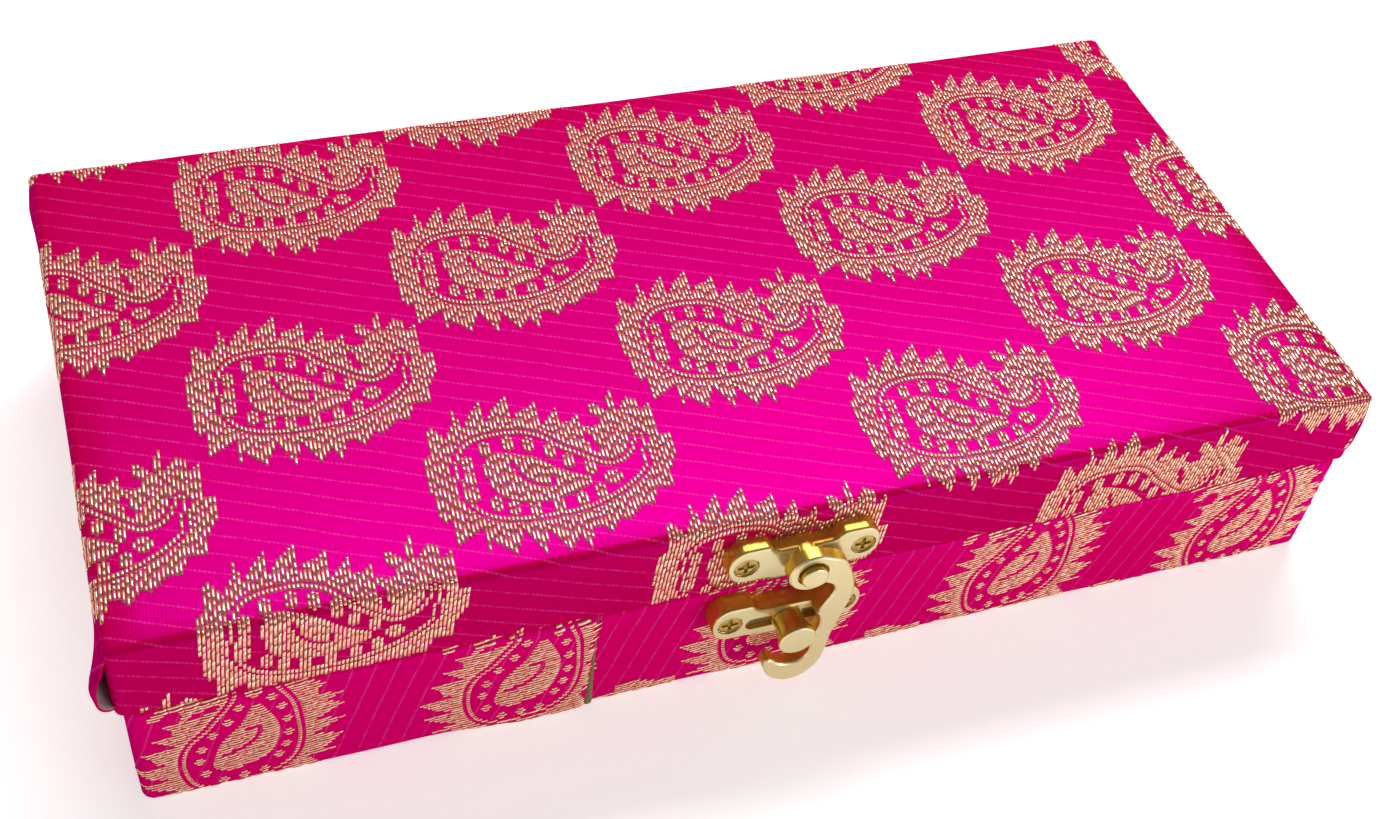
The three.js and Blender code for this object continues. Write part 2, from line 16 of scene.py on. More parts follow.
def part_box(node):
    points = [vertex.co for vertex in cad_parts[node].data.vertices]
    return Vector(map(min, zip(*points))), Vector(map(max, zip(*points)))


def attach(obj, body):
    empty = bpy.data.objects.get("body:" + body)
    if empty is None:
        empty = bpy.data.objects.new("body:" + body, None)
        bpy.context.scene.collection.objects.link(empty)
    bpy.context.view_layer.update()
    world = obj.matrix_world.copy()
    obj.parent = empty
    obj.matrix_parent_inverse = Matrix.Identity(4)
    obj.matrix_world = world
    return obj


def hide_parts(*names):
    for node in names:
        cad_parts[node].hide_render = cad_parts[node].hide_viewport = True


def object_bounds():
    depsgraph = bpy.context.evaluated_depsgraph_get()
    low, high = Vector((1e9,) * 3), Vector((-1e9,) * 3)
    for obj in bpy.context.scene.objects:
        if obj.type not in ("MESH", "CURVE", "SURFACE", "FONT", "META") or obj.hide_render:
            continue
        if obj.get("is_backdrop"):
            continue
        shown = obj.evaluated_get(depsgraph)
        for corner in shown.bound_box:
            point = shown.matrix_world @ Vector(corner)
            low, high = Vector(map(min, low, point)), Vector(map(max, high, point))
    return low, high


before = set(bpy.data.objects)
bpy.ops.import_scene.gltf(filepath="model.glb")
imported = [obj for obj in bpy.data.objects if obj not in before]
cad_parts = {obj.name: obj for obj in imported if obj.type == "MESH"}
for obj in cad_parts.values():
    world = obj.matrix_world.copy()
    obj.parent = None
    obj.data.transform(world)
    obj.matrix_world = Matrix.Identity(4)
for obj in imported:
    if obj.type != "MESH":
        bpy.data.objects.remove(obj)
cad_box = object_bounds()
scene = bpy.context.scene
scene.view_settings.view_transform = "Standard"
MM = 0.001

# %% [markdown]
# ## Camera
# A camera can be aimed by eye or solved from the corners of a box whose proportions are known.
# It was solved here. A place and three angles are enough to set it up again: it is swung to
# the right, tipped down and then rolled, as a hand-held camera is. The small shift is there
# because the picture is cropped off centre.

# %% Camera
IMAGE_WIDTH = 1400
IMAGE_HEIGHT = 819
FOCAL_PIXELS = 1812.4  # focal length in pixels of the picture
OPTICAL_ROW = 450  # the row that the lens points at
CAMERA_PLACE = (-90.8, -204.1, 241.3)  # mm
SWING = 25.14  # degrees to the right
TIP = 47.46  # degrees below level
ROLL = 8.42  # degrees, the right side up

camera_data = bpy.data.cameras.new("camera")
camera_data.sensor_width = 36
camera_data.lens = FOCAL_PIXELS / IMAGE_WIDTH * camera_data.sensor_width
camera_data.shift_y = (OPTICAL_ROW - IMAGE_HEIGHT / 2) / IMAGE_WIDTH
camera_data.clip_start = 0.01
camera = bpy.data.objects.new("camera", camera_data)
camera.matrix_world = Matrix.Translation(Vector(CAMERA_PLACE) * MM)
for angle, axis in ((-SWING, "Z"), (90 - TIP, "X"), (ROLL, "Z")):
    camera.matrix_world = camera.matrix_world @ Matrix.Rotation(math.radians(angle), 4, axis)
scene.collection.objects.link(camera)
scene.camera = camera
print("lens", round(camera_data.lens, 2), "shift", round(camera_data.shift_y, 4))

# %% [markdown]
# ## Node and colour helpers
# Every finish below is a small node tree. One function adds a node with its settings and its
# links, and one turns the hex colours that people write into the linear values Blender mixes.

# %% Helpers for materials


def add(tree, kind, inputs=None, **settings):
    made = tree.nodes.new(kind)
    for name, value in settings.items():
        setattr(made, name, value)
    for name, value in (inputs or {}).items():
        if isinstance(value, bpy.types.NodeSocket):
            tree.links.new(value, made.inputs[name])
        else:
            made.inputs[name].default_value = value
    return made


def linear(hex_colour):
    channels = [int(hex_colour[i : i + 2], 16) / 255 for i in (1, 3, 5)]
    return [c / 12.92 if c <= 0.04045 else ((c + 0.055) / 1.055) ** 2.4 for c in channels] + [1.0]


def new_material(name):
    material = bpy.data.materials.new(name)
    material.use_nodes = True
    tree = material.node_tree
    return material, tree, tree.nodes["Principled BSDF"]


print("pure red in linear values:", linear("#ff0000"))

# %% [markdown]
# ## Satin ground
# The ground of the brocade is a satin: long silky threads lie side by side on the face, so the
# colour is very deep and the gloss takes the colour of the thread. Fine pin lines cross it
# every few millimetres. The cloth carries its own flat measure as a UV map in metres, so the
# lines run on over every edge as they do on cloth that was cut flat and wrapped.

# %% Satin with pin lines
PIN_SPACING = 3.25  # mm between pin lines
PIN_ANGLE = 19.5  # degrees that the lines fall across the cloth
PIN_WIDTH = 0.3  # mm
PIN_DASH = 0.65  # mm, each line is a row of dots, one in each column of threads
PIN_BEND = 12  # mm, the length of a pin line's slow bends
PIN_PAINTED_GLINT = 1.1  # mm, the stretches in which a pin line shines or fades
RIB_PITCH = 0.5  # mm; real satin is about five times finer, which would not show
WAVE_PERIOD = 0.314  # how far apart the bands of a wave texture are at a scale of 1
CAST_SIZE = 50  # mm, slow change of colour in the dye
GLOSS_COLOUR = "#ff00dc"  # silk gloss is tinted by the thread, more to magenta than its depth
GLOSS_ROUGHNESS = 0.31
GLOSS_SHARE = 0.08


def satin(name, deep, bright, pin, pin_strength):
    material, tree, shader = new_material(name)
    flat = add(tree, "ShaderNodeUVMap", uv_map="cloth").outputs[0]
    split = add(tree, "ShaderNodeSeparateXYZ", {0: flat})
    across, along = split.outputs[0], split.outputs[1]
    slope = math.radians(PIN_ANGLE)
    fall = add(
        tree, "ShaderNodeMath", {0: across, 1: math.tan(slope), 2: along},
        operation="MULTIPLY_ADD",
    )
    step = PIN_SPACING * MM / math.cos(slope)
    rows = add(tree, "ShaderNodeMath", {0: fall.outputs[0], 1: step}, operation="DIVIDE")
    wander = add(tree, "ShaderNodeTexNoise", {"Vector": flat, "Scale": 1 / (PIN_BEND * MM), "Detail": 2})
    sway = add(
        tree, "ShaderNodeMath", {0: wander.outputs[0], 1: 0.25, 2: rows.outputs[0]},
        operation="MULTIPLY_ADD",
    )
    place = add(tree, "ShaderNodeMath", {0: sway.outputs[0], 1: 0.5}, operation="PINGPONG")
    half = PIN_WIDTH / PIN_SPACING / 2
    line = add(
        tree, "ShaderNodeMapRange",
        {0: place.outputs[0], 1: half * 0.6, 2: half * 1.6, 3: pin_strength, 4: 0.0},
        interpolation_type="SMOOTHSTEP",
    )
    count = add(tree, "ShaderNodeMath", {0: across, 1: PIN_DASH * MM}, operation="DIVIDE")
    dash = add(tree, "ShaderNodeMath", {0: count.outputs[0], 1: 0.5}, operation="PINGPONG")
    dots = add(tree, "ShaderNodeMapRange", {0: dash.outputs[0], 1: 0.08, 2: 0.2, 3: 0.15, 4: 1.0})
    # Painted glints: the pin colour is lighter in random stretches, as where a pin line catches the light.
    painted_glint = add(tree, "ShaderNodeTexNoise", {"Vector": flat, "Scale": 1 / (PIN_PAINTED_GLINT * MM), "Detail": 1})
    glint_share = add(tree, "ShaderNodeMapRange", {0: painted_glint.outputs[0], 1: 0.36, 2: 0.60, 3: 0.25, 4: 1.0})
    broken = add(tree, "ShaderNodeMath", {0: dots.outputs[0], 1: glint_share.outputs[0]}, operation="MULTIPLY")
    pins = add(tree, "ShaderNodeMath", {0: line.outputs[0], 1: broken.outputs[0]}, operation="MULTIPLY")
    cast = add(tree, "ShaderNodeTexNoise", {"Vector": flat, "Scale": 1 / (CAST_SIZE * MM), "Detail": 3})
    mixed = add(tree, "ShaderNodeMapRange", {0: cast.outputs[0], 1: 0.3, 2: 0.7})
    ground = add(
        tree, "ShaderNodeMix", {0: mixed.outputs[0], 6: linear(deep), 7: linear(bright)},
        data_type="RGBA",
    )
    lined = add(
        tree, "ShaderNodeMix", {0: pins.outputs[0], 6: ground.outputs[2], 7: linear(pin)},
        data_type="RGBA",
    )
    tree.links.new(lined.outputs[2], shader.inputs["Base Color"])
    ribs = add(
        tree, "ShaderNodeTexWave",
        {"Vector": flat, "Scale": WAVE_PERIOD / (RIB_PITCH * MM), "Distortion": 0.8, "Detail": 1},
        wave_type="BANDS", bands_direction="X",
    )
    height = add(
        tree, "ShaderNodeMath", {0: ribs.outputs[1], 1: 0.25, 2: pins.outputs[0]},
        operation="MULTIPLY_ADD",
    )
    bump = add(
        tree, "ShaderNodeBump",
        {"Height": height.outputs[0], "Strength": 0.3, "Distance": 0.05 * MM},
    )
    tree.links.new(bump.outputs[0], shader.inputs["Normal"])
    shader.inputs["Roughness"].default_value = 0.6
    shader.inputs["Specular IOR Level"].default_value = 0.0
    gloss = add(
        tree, "ShaderNodeBsdfGlossy",
        {"Color": linear(GLOSS_COLOUR), "Roughness": GLOSS_ROUGHNESS, "Normal": bump.outputs[0]},
    )
    both = add(tree, "ShaderNodeMixShader", {0: GLOSS_SHARE, 1: shader.outputs[0], 2: gloss.outputs[0]})
    tree.links.new(both.outputs[0], tree.nodes["Material Output"].inputs[0])
    return material


lid_satin = satin("satin_brocade_lid", "#dc0048", "#e60056", "#ff3c98", 0.9)
# The base's strip is the same cloth as the lid's; its lighter, pinker ground is painted sheen, for satin
# cut across its grain.
base_satin = satin("satin_brocade_base", "#fc0068", "#ff0076", "#ff62b4", 0.5)
print("satin pins every", PIN_SPACING, "mm")

# %% [markdown]
# ## Gold thread
# Zari is flat metal strip wound round a core. It reflects like brushed metal, in short
# glints, because each float bends down where another thread ties it. The floats are modelled,
# so the finish only needs a metal with a little change of colour from float to float.

# %% Zari and its core
ZARI_SPECKLE = 0.9  # mm, about one float and a half across


def zari(name, pale, warm):
    material, tree, shader = new_material(name)
    where = add(tree, "ShaderNodeTexCoord").outputs["Object"]
    fineness = 1 / (ZARI_SPECKLE * MM)
    speckle = add(tree, "ShaderNodeTexNoise", {"Vector": where, "Scale": fineness, "Detail": 1})
    mix = add(tree, "ShaderNodeMapRange", {0: speckle.outputs[0], 1: 0.36, 2: 0.64})
    colour = add(
        tree, "ShaderNodeMix", {0: mix.outputs[0], 6: linear(warm), 7: linear(pale)},
        data_type="RGBA",
    )
    tree.links.new(colour.outputs[2], shader.inputs["Base Color"])
    rough = add(tree, "ShaderNodeMapRange", {0: mix.outputs[0], 3: 0.42, 4: 0.3})
    tree.links.new(rough.outputs[0], shader.inputs["Roughness"])
    shader.inputs["Metallic"].default_value = 1.0
    return material


gold_thread = zari("zari_gold_thread", "#ffdebc", "#f6aa88")
# The flanks of each float take this colour: partly the silk core that shows there, partly painted shade
# between the gold floats.
core_and_shade, _, shader = new_material("zari_core_and_painted_shade")
shader.inputs["Base Color"].default_value = linear("#dc5a72")
shader.inputs["Roughness"].default_value = 0.7
shader.inputs["Specular IOR Level"].default_value = 0.1
print("zari:", gold_thread.name, "round", core_and_shade.name)

# %% [markdown]
# ## Plated metal
# The latch and the hinges are die-cast metal with gold plating. Faces are painted pale and a little
# smoother, sides a deeper gold: painted light and shade, set by the way a surface faces. The screws are a
# deeper gold all over, with the same painted shade on their sides. Every flat face of a latch or a leaf
# looks to the front or the back, so the normal tells faces from sides.

# %% Polished gold plating
PLATING_CLOUD = 3.0  # mm, slow change of colour in the plating
PLATING_GRIT = 0.8  # mm, small dents of the casting under it


def plated(name, sides, dull_face, bright_face):
    material, tree, shader = new_material(name)
    where = add(tree, "ShaderNodeTexCoord").outputs
    cloud = add(
        tree, "ShaderNodeTexNoise",
        {"Vector": where["Object"], "Scale": 1 / (PLATING_CLOUD * MM), "Detail": 3},
    )
    # Painted light and shade: faces that look to the front or the back are pale, the sides a deeper gold.
    facing = add(tree, "ShaderNodeSeparateXYZ", {0: where["Normal"]}).outputs[1]
    flatness = add(tree, "ShaderNodeMath", {0: facing}, operation="ABSOLUTE")
    painted_lit_faces = add(
        tree, "ShaderNodeMapRange", {0: flatness.outputs[0], 1: 0.35, 2: 0.8},
        interpolation_type="SMOOTHSTEP",
    )
    face = add(
        tree, "ShaderNodeMix", {0: cloud.outputs[0], 6: linear(dull_face), 7: linear(bright_face)},
        data_type="RGBA",
    )
    tint = add(
        tree, "ShaderNodeMix", {0: painted_lit_faces.outputs[0], 6: linear(sides), 7: face.outputs[2]},
        data_type="RGBA",
    )
    tree.links.new(tint.outputs[2], shader.inputs["Base Color"])
    haze = add(tree, "ShaderNodeMapRange", {0: painted_lit_faces.outputs[0], 3: 0.26, 4: 0.24})
    tree.links.new(haze.outputs[0], shader.inputs["Roughness"])
    grit = add(
        tree, "ShaderNodeTexNoise",
        {"Vector": where["Object"], "Scale": 1 / (PLATING_GRIT * MM), "Detail": 2},
    )
    dent = add(tree, "ShaderNodeBump", {"Height": grit.outputs[0], "Strength": 0.05, "Distance": 0.05 * MM})
    tree.links.new(dent.outputs[0], shader.inputs["Normal"])
    shader.inputs["Metallic"].default_value = 0.7
    shader.inputs["Specular Tint"].default_value = linear("#f0d088")
    return material


plating = plated("polished_gold_plating", "#d8ae4a", "#e8d69c", "#f2e8c0")
screw_plating = plated("deeper_gold_screw_plating", "#a8802e", "#b59a52", "#c8ae66")
print("plating:", plating.name, screw_plating.name)

# %% [markdown]
# ## Board, paper and lining
# The boards are raw fibreboard, pressed from short brown fibres. The bottom sheet is dyed
# paper. The lining is a plain matte cloth with a soft nap, which shows as a pale sheen where
# it turns away. All three are a fleck at its own size, so one function makes them.

# %% Fibreboard, paper and lining


def flecked(name, dark, light, fleck_mm, roughness, relief):
    material, tree, shader = new_material(name)
    where = add(tree, "ShaderNodeTexCoord").outputs["Object"]
    fleck = add(tree, "ShaderNodeTexNoise", {"Vector": where, "Scale": 1 / (fleck_mm * MM), "Detail": 4})
    mix = add(tree, "ShaderNodeMapRange", {0: fleck.outputs[0], 1: 0.3, 2: 0.7})
    colour = add(
        tree, "ShaderNodeMix", {0: mix.outputs[0], 6: linear(dark), 7: linear(light)},
        data_type="RGBA",
    )
    tree.links.new(colour.outputs[2], shader.inputs["Base Color"])
    bump = add(
        tree, "ShaderNodeBump",
        {"Height": fleck.outputs[0], "Strength": 0.4, "Distance": relief * MM},
    )
    tree.links.new(bump.outputs[0], shader.inputs["Normal"])
    shader.inputs["Roughness"].default_value = roughness
    return material


fibreboard = flecked("raw_fibreboard", "#9a7850", "#bd9a6c", 1.2, 0.85, 0.05)
bottom_paper = flecked("dyed_bottom_paper", "#641034", "#78163f", 0.8, 0.8, 0.03)
lining_cloth = flecked("matte_lining_cloth", "#8d0f48", "#a8135a", 0.7, 0.95, 0.08)
lining_shader = lining_cloth.node_tree.nodes["Principled BSDF"]
lining_shader.inputs["Sheen Weight"].default_value = 0.6
lining_shader.inputs["Sheen Roughness"].default_value = 0.5
lining_shader.inputs["Sheen Tint"].default_value = linear("#f08cba")
print("plain finishes:", fibreboard.name, bottom_paper.name, lining_cloth.name)

# %% [markdown]
# ## Wrapping cloth round a box
# The cloth is thought of as flat and is then wrapped: a point has a distance round the box, a
# distance down over the edge, and a height above the cloth. One function turns these three
# into a place in space, with round corners and round edges. The cloth and the gold thread on
# it both go through it, so the thread always lies on the cloth. The outer sizes are read from
# the CAD shells, and a low ripple keeps the cloth from looking like sheet metal.

# %% The wrap
RIPPLE_MEAN = 0.05  # mm that the cloth lies off the board
RIPPLE_SLOW = 0.05  # mm, a swell about 70 mm long
RIPPLE_QUICK = 0.03  # mm, a swell about 20 mm long


def cover_sizes(node, corner, brow, lip):
    low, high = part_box(node)
    hx, hy, top, foot = (round(x / MM, 2) for x in (high.x, high.y, high.z, low.z))
    return {"half": (hx, hy), "corner": corner, "top": top, "brow": brow, "foot": foot, "lip": lip}


LID = cover_sizes("lid_fabric_cover", corner=1.3, brow=1.3, lip=0.45)
BASE = cover_sizes("base_fabric_wrap", corner=1.8, brow=1.0, lip=0.9)


def ripple(place):
    x, y, z = place[:, 0], place[:, 1], place[:, 2]
    slow = np.sin(0.083 * x + 1.3 + 0.05 * z) * np.sin(0.101 * y + 0.4 + 0.11 * z)
    quick = np.sin(0.29 * x + 0.21 * y + 0.33 * z)
    return RIPPLE_MEAN + RIPPLE_SLOW * slow + RIPPLE_QUICK * quick


def plan(cover, s, inset):
    hx, hy = cover["half"]
    c = cover["corner"]
    long, short, arc = 2 * (hx - c), 2 * (hy - c), c * math.pi / 2
    total = 2 * long + 2 * short + 4 * arc
    s = np.mod(s + long / 2, total)
    deep = np.maximum(inset, c)
    radius = np.maximum(c - inset, 0)
    x, y = np.zeros_like(s), np.zeros_like(s)
    out = np.zeros((len(s), 2))
    start = 0.0
    for side in range(4):
        angle = side * math.pi / 2
        length, reach, span = (long, hy, hx) if side % 2 == 0 else (short, hx, hy)
        normal = np.array((math.sin(angle), -math.cos(angle)))
        ahead = np.array((math.cos(angle), math.sin(angle)))
        on = (s >= start) & (s < start + length)
        t = (s - start - length / 2) * (span - deep) / (span - c)
        x[on] = (normal[0] * (reach - inset) + ahead[0] * t)[on]
        y[on] = (normal[1] * (reach - inset) + ahead[1] * t)[on]
        out[on] = normal
        start += length
        on = (s >= start) & (s < start + arc)
        turn = (s - start) / c
        middle = normal[:, None] * (reach - deep) + ahead[:, None] * (span - deep)
        swing = np.outer(normal, np.cos(turn)) + np.outer(ahead, np.sin(turn))
        x[on] = (middle[0] + radius * swing[0])[on]
        y[on] = (middle[1] + radius * swing[1])[on]
        out[on] = swing.T[on]
        start += arc
    return x, y, out


def over_edge(cover, depth):
    r, lip = cover["brow"], cover["lip"]
    wall = cover["top"] - r - cover["foot"] - lip
    arc, foot_arc = r * math.pi / 2, lip * math.pi / 2
    a = np.clip(depth / r, 0, math.pi / 2)
    b = np.clip((depth - arc - wall) / lip, 0, math.pi / 2)
    tuck = np.maximum(depth - arc - wall - foot_arc, 0)
    down = np.clip(depth - arc, 0, wall)
    inset = r * (1 - np.sin(a)) + lip * (1 - np.cos(b)) + tuck - np.minimum(depth, 0)
    z = cover["top"] - r * (1 - np.cos(a)) - down - lip * np.sin(b)
    return inset, z, np.sin(a) * np.cos(b), np.cos(a) - np.sin(b)


def wrap(cover, s, depth, height):
    inset, z, sideways, upward = over_edge(cover, depth)
    x, y, out = plan(cover, s, inset)
    place = np.stack((x, y, z), 1)
    normal = np.stack((out[:, 0] * sideways, out[:, 1] * sideways, upward), 1)
    return place + normal * (height + ripple(place))[:, None]


def side_start(cover, side):
    hx, hy = cover["half"]
    c = cover["corner"]
    long, short, arc = 2 * (hx - c), 2 * (hy - c), c * math.pi / 2
    return (0, long / 2 + arc + short / 2, long + 2 * arc + short, 1.5 * long + 3 * arc + 1.5 * short)[side]


def depth_total(cover, tuck):
    r, lip = cover["brow"], cover["lip"]
    return (r + lip) * math.pi / 2 + cover["top"] - r - cover["foot"] - lip + tuck


print("lid:", LID)
print("base:", BASE)
print("cloth runs down", round(depth_total(LID, 0), 1), "and", round(depth_total(BASE, 0), 1), "mm")

# %% [markdown]
# ## Cloth meshes
# Cloth could be simulated, but it is glued tight to boards here, so wrapping a grid is exact.
# A panel is a grid whose lines are closer where the cloth bends. It carries its flat place as
# a UV map, and a Solidify modifier gives the finished sheet its thickness.

# %% Panels of cloth


def steps(*stops):
    lines = [stops[0][0]]
    for (low, _), (high, pitch) in zip(stops, stops[1:]):
        count = max(1, round((high - low) / pitch))
        lines += [low + (high - low) * (k + 1) / count for k in range(count)]
    return np.array(lines)


def cloth_panel(columns, rows, place, measure):
    bm = bmesh.new()
    bmesh.ops.create_grid(bm, x_segments=len(columns) - 1, y_segments=len(rows) - 1, size=0.5)
    bm.verts.index_update()
    spot = np.array([v.co for v in bm.verts]) + 0.5
    along = columns[np.rint(spot[:, 0] * (len(columns) - 1)).astype(int)]
    down = rows[np.rint(spot[:, 1] * (len(rows) - 1)).astype(int)]
    points, flat = place(along, down) * MM, measure(along, down) * MM
    for vert, point in zip(bm.verts, points):
        vert.co = point
    layer = bm.loops.layers.uv.new("cloth")
    for face in bm.faces:
        for loop in face.loops:
            loop[layer].uv = flat[loop.vert.index]
    return bm


def sewn(panels):
    whole = bmesh.new()
    for panel in panels:
        held = bpy.data.meshes.new("panel")
        panel.to_mesh(held)
        panel.free()
        whole.from_mesh(held)
        bpy.data.meshes.remove(held)
    bmesh.ops.remove_doubles(whole, verts=whole.verts, dist=0.01 * MM)
    return whole


def as_piece(bm, name, material, body):
    mesh = bpy.data.meshes.new(name)
    bm.to_mesh(mesh)
    bm.free()
    mesh.polygons.foreach_set("use_smooth", [True] * len(mesh.polygons))
    mesh.materials.append(material)
    piece = bpy.data.objects.new(name, mesh)
    scene.collection.objects.link(piece)
    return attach(piece, body)


def thicken(piece, thickness):
    modifier = piece.modifiers.new("thickness", "SOLIDIFY")
    modifier.thickness = thickness * MM
    modifier.offset = -1


print("lines from 0 to 10, closer at the end:", steps((0, 0), (8, 4), (10, 1)))

# %% [markdown]
# ## Lid cover
# The lid's cloth is a flat top and four sides that turn under the rim. The five panels are
# made apart, because each side has its own way down, and are then merged into one sheet.

# %% Lid cover
CLOTH = 0.4  # mm
LID_TURN = math.radians(4.5)  # the cloth lies a little askew on the lid
LID_TUCK = 4.0  # mm of cloth turned in under the rim


def side_axes(cover, side):
    angle = side * math.pi / 2
    normal = np.array((math.sin(angle), -math.cos(angle)))
    ahead = np.array((math.cos(angle), math.sin(angle)))
    return normal, ahead, cover["half"][1 - side % 2] - cover["brow"]


def lid_flat(side, along, depth):
    normal, ahead, reach = side_axes(LID, side)
    return np.outer(reach + depth, normal) + np.outer(along, ahead)


def turned(points, angle):
    c, s = math.cos(angle), math.sin(angle)
    return points @ np.array(((c, s), (-s, c)))


def on_top(u, v, height):
    place = np.stack((u, v, np.full(len(u), LID["top"])), 1)
    return place + np.array((0, 0, 1)) * (height + ripple(place))[:, None]


edge = LID["brow"]
half_arc = LID["corner"] * math.pi / 4
wall_end = depth_total(LID, 0)
lip_arc = LID["lip"] * math.pi / 2
lines = [steps((edge - half, 0), (half - edge, 5)) for half in LID["half"]]
drop = steps(
    (0, 0), (edge * math.pi / 2, 0.5), (wall_end - lip_arc, 2.5), (wall_end, 0.25),
    (wall_end + LID_TUCK, 2),
)
panels = [cloth_panel(
    lines[0], lines[1],
    lambda u, v: on_top(u, v, 0),
    lambda u, v: turned(np.stack((u, v), 1), LID_TURN),
)]
for side in range(4):
    ends = lines[side % 2]
    before = ends[0] - half_arc * np.array((1, 0.5))
    after = ends[-1] + half_arc * np.array((0.5, 1))
    columns = np.concatenate((before, ends, after))
    panels.append(cloth_panel(
        columns, drop[::-1],
        lambda a, d: wrap(LID, side_start(LID, side) + a, d, 0),
        lambda a, d: turned(lid_flat(side, a, d), LID_TURN),
    ))
lid_cloth = as_piece(sewn(panels), "lid_brocade_cover", lid_satin, "lid")
thicken(lid_cloth, CLOTH)
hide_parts("lid_fabric_cover")
print("lid cover:", len(lid_cloth.data.polygons), "faces")

# %% [markdown]
# ## Base strip
# The base's cloth is one long strip that goes round the walls and laps over its own start at
# the front. Towards its end it rises over the layer under it and leans a little. Under the
# box the lap is pressed flat by the weight that stands on it.

# %% Base strip with its lap
LAP = -32.0  # mm, where the strip's end shows on the front
UNDERLAP = 8.0  # mm of the strip's start under its end
BASE_TUCK = 4.0  # mm turned in over the rim
HEM = 11.0  # mm turned in under the floor
LAP_RISE_FROM = 26.0  # mm before its end, where the strip starts to rise
LAP_RISE_OVER = 18.0  # mm that the rise takes
LAP_RISE = (0.6, 0.5)  # mm at the rim, and how much more at the table
LAP_CURL = (0.5, 1.7)  # mm that the end curls down, at the rim, and how much more at the table
LAP_LOW = 20.0  # mm up from the table, where the lap starts to stand up more
LAP_LEAN = 0.04  # mm along for each mm up
LAP_LEAN_MIDDLE = 11.0  # mm up, where the lean changes sides
LAP_LEAN_OVER = 12.0  # mm before its end in which the strip takes up the lean
PRESSED = 0.8  # share of its height that the lap loses under the box
hx, hy = BASE["half"]
ROUND = 4 * (hx + hy - 2 * BASE["corner"]) + 2 * math.pi * BASE["corner"]
STRIP_END = ROUND + LAP
base_end = depth_total(BASE, 0)
foot_arc = BASE["lip"] * math.pi / 2


def height_on_base(depth):
    return BASE["brow"] * math.pi / 2 + BASE["top"] - BASE["brow"] - depth


def pressed_under(depth):
    turn = np.clip((depth - base_end) / foot_arc + 1, 0, 1)
    return 1 - PRESSED * turn


def lowness(depth):
    return np.clip(1 - height_on_base(depth) / LAP_LOW, 0, 1)


def lap_lean(depth):
    return LAP_LEAN * (height_on_base(depth) - LAP_LEAN_MIDDLE)


def lap_rise(s, depth):
    ramp = np.clip((s - (STRIP_END - LAP_RISE_FROM)) / LAP_RISE_OVER, 0, 1)
    low = lowness(depth)
    curl = LAP_CURL[0] + LAP_CURL[1] * low
    past = np.clip((s - (STRIP_END - curl)) / curl, 0, 1)
    rise = (LAP_RISE[0] + LAP_RISE[1] * low) * pressed_under(depth)
    return rise * ramp * ramp * (3 - 2 * ramp) * np.sqrt(1 - 0.9 * past * past)


def on_base(s, depth, height):
    near_end = np.clip((s - (STRIP_END - LAP_LEAN_OVER)) / LAP_LEAN_OVER, 0, 1)
    return wrap(BASE, s + lap_lean(depth) * near_end, depth, height + lap_rise(s, depth))


corners = []
for side, length in enumerate((hx, hy, hx, hy, hx)):
    straight = 2 * (length - BASE["corner"])
    middle = side_start(BASE, side % 4) + (ROUND if side == 4 else 0)
    corners += [(middle - straight / 2, 0.6), (middle + straight / 2, 5)]
lap_stops = [(STRIP_END - LAP_RISE_FROM, 5), (STRIP_END - 2.5, 3), (STRIP_END, 0.25)]
columns = steps((LAP - UNDERLAP, 0), *corners[1:-1], *lap_stops)
rows = steps(
    (-BASE_TUCK, 0), (0, 2), (BASE["brow"] * math.pi / 2, 0.3), (base_end - foot_arc, 2.5),
    (base_end, 0.35), (base_end + HEM, 3),
)
bm = cloth_panel(
    columns, rows[::-1],
    lambda s, d: on_base(s, d, 0),
    lambda s, d: np.stack((-d, -s), 1),
)
base_cloth = as_piece(bm, "base_brocade_strip", base_satin, "base")
thicken(base_cloth, CLOTH)
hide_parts("base_fabric_wrap")

# %% [markdown]
# ## The paisley in gold thread
# Each motif is a teardrop ring with dots round an inner teardrop, and a band with flame points
# outside. A weaver draws it on squared paper, one square for each gold thread, and so does
# this cell: the points are whole squares, and smooth curves run through the teardrops. It
# could be an image, but outlines stay sharp at any size.

# %% Motif on squared paper
SQUARE = 0.6  # mm, one gold thread
FLAMES = [
    (-30, 17), (-29, 18), (-26, 14), (-24, 18), (-23, 23), (-21, 17), (-19, 21), (-16, 25), (-15, 18),
    (-13, 22), (-9, 26), (-8, 18), (-7, 20), (-4, 21), (-2, 23), (-1, 15), (3, 20), (4, 15), (6, 15),
    (8, 17), (9, 13), (11, 12), (14, 13), (14, 15), (11, 18), (12, 20), (13, 20), (16, 17), (17, 22),
    (18, 24), (19, 23), (19, 17), (22, 21), (24, 20), (25, 16), (27, 18), (28, 16), (28, 7), (30, 7),
    (31, 2), (28, -4), (27, -10), (23, -10), (21, -15), (18, -15), (14, -19), (12, -18), (9, -22),
    (7, -20), (5, -20), (3, -26), (1, -22), (-2, -26), (-6, -19), (-8, -26), (-12, -18), (-15, -25),
    (-20, -20), (-21, -23), (-22, -16), (-28, -20), (-28, -11), (-30, -13), (-31, -11), (-32, -3),
    (-32, 8), (-30, 10),
]
TEARDROP = [
    (-24, 0), (-24, 6), (-21, 11), (-15, 13), (-8, 13), (-3, 11), (1, 7), (5, 4), (9, 1), (13, -1),
    (17, 0), (20, 3), (22, 8), (22, 3), (21, -3), (14, -9), (5, -13), (-4, -14), (-12, -14), (-19, -12),
    (-23, -7),
]
KERNEL = [
    (-18, 0), (-18, 4), (-15, 7), (-10, 6), (-5, 4), (1, -1), (8, -5), (3, -8), (-4, -10), (-11, -9),
    (-16, -6),
]
SWIRL = [(-11, 4), (-10, 0), (-8, -3), (-5, -5), (-2, -5), (-2, -2)]
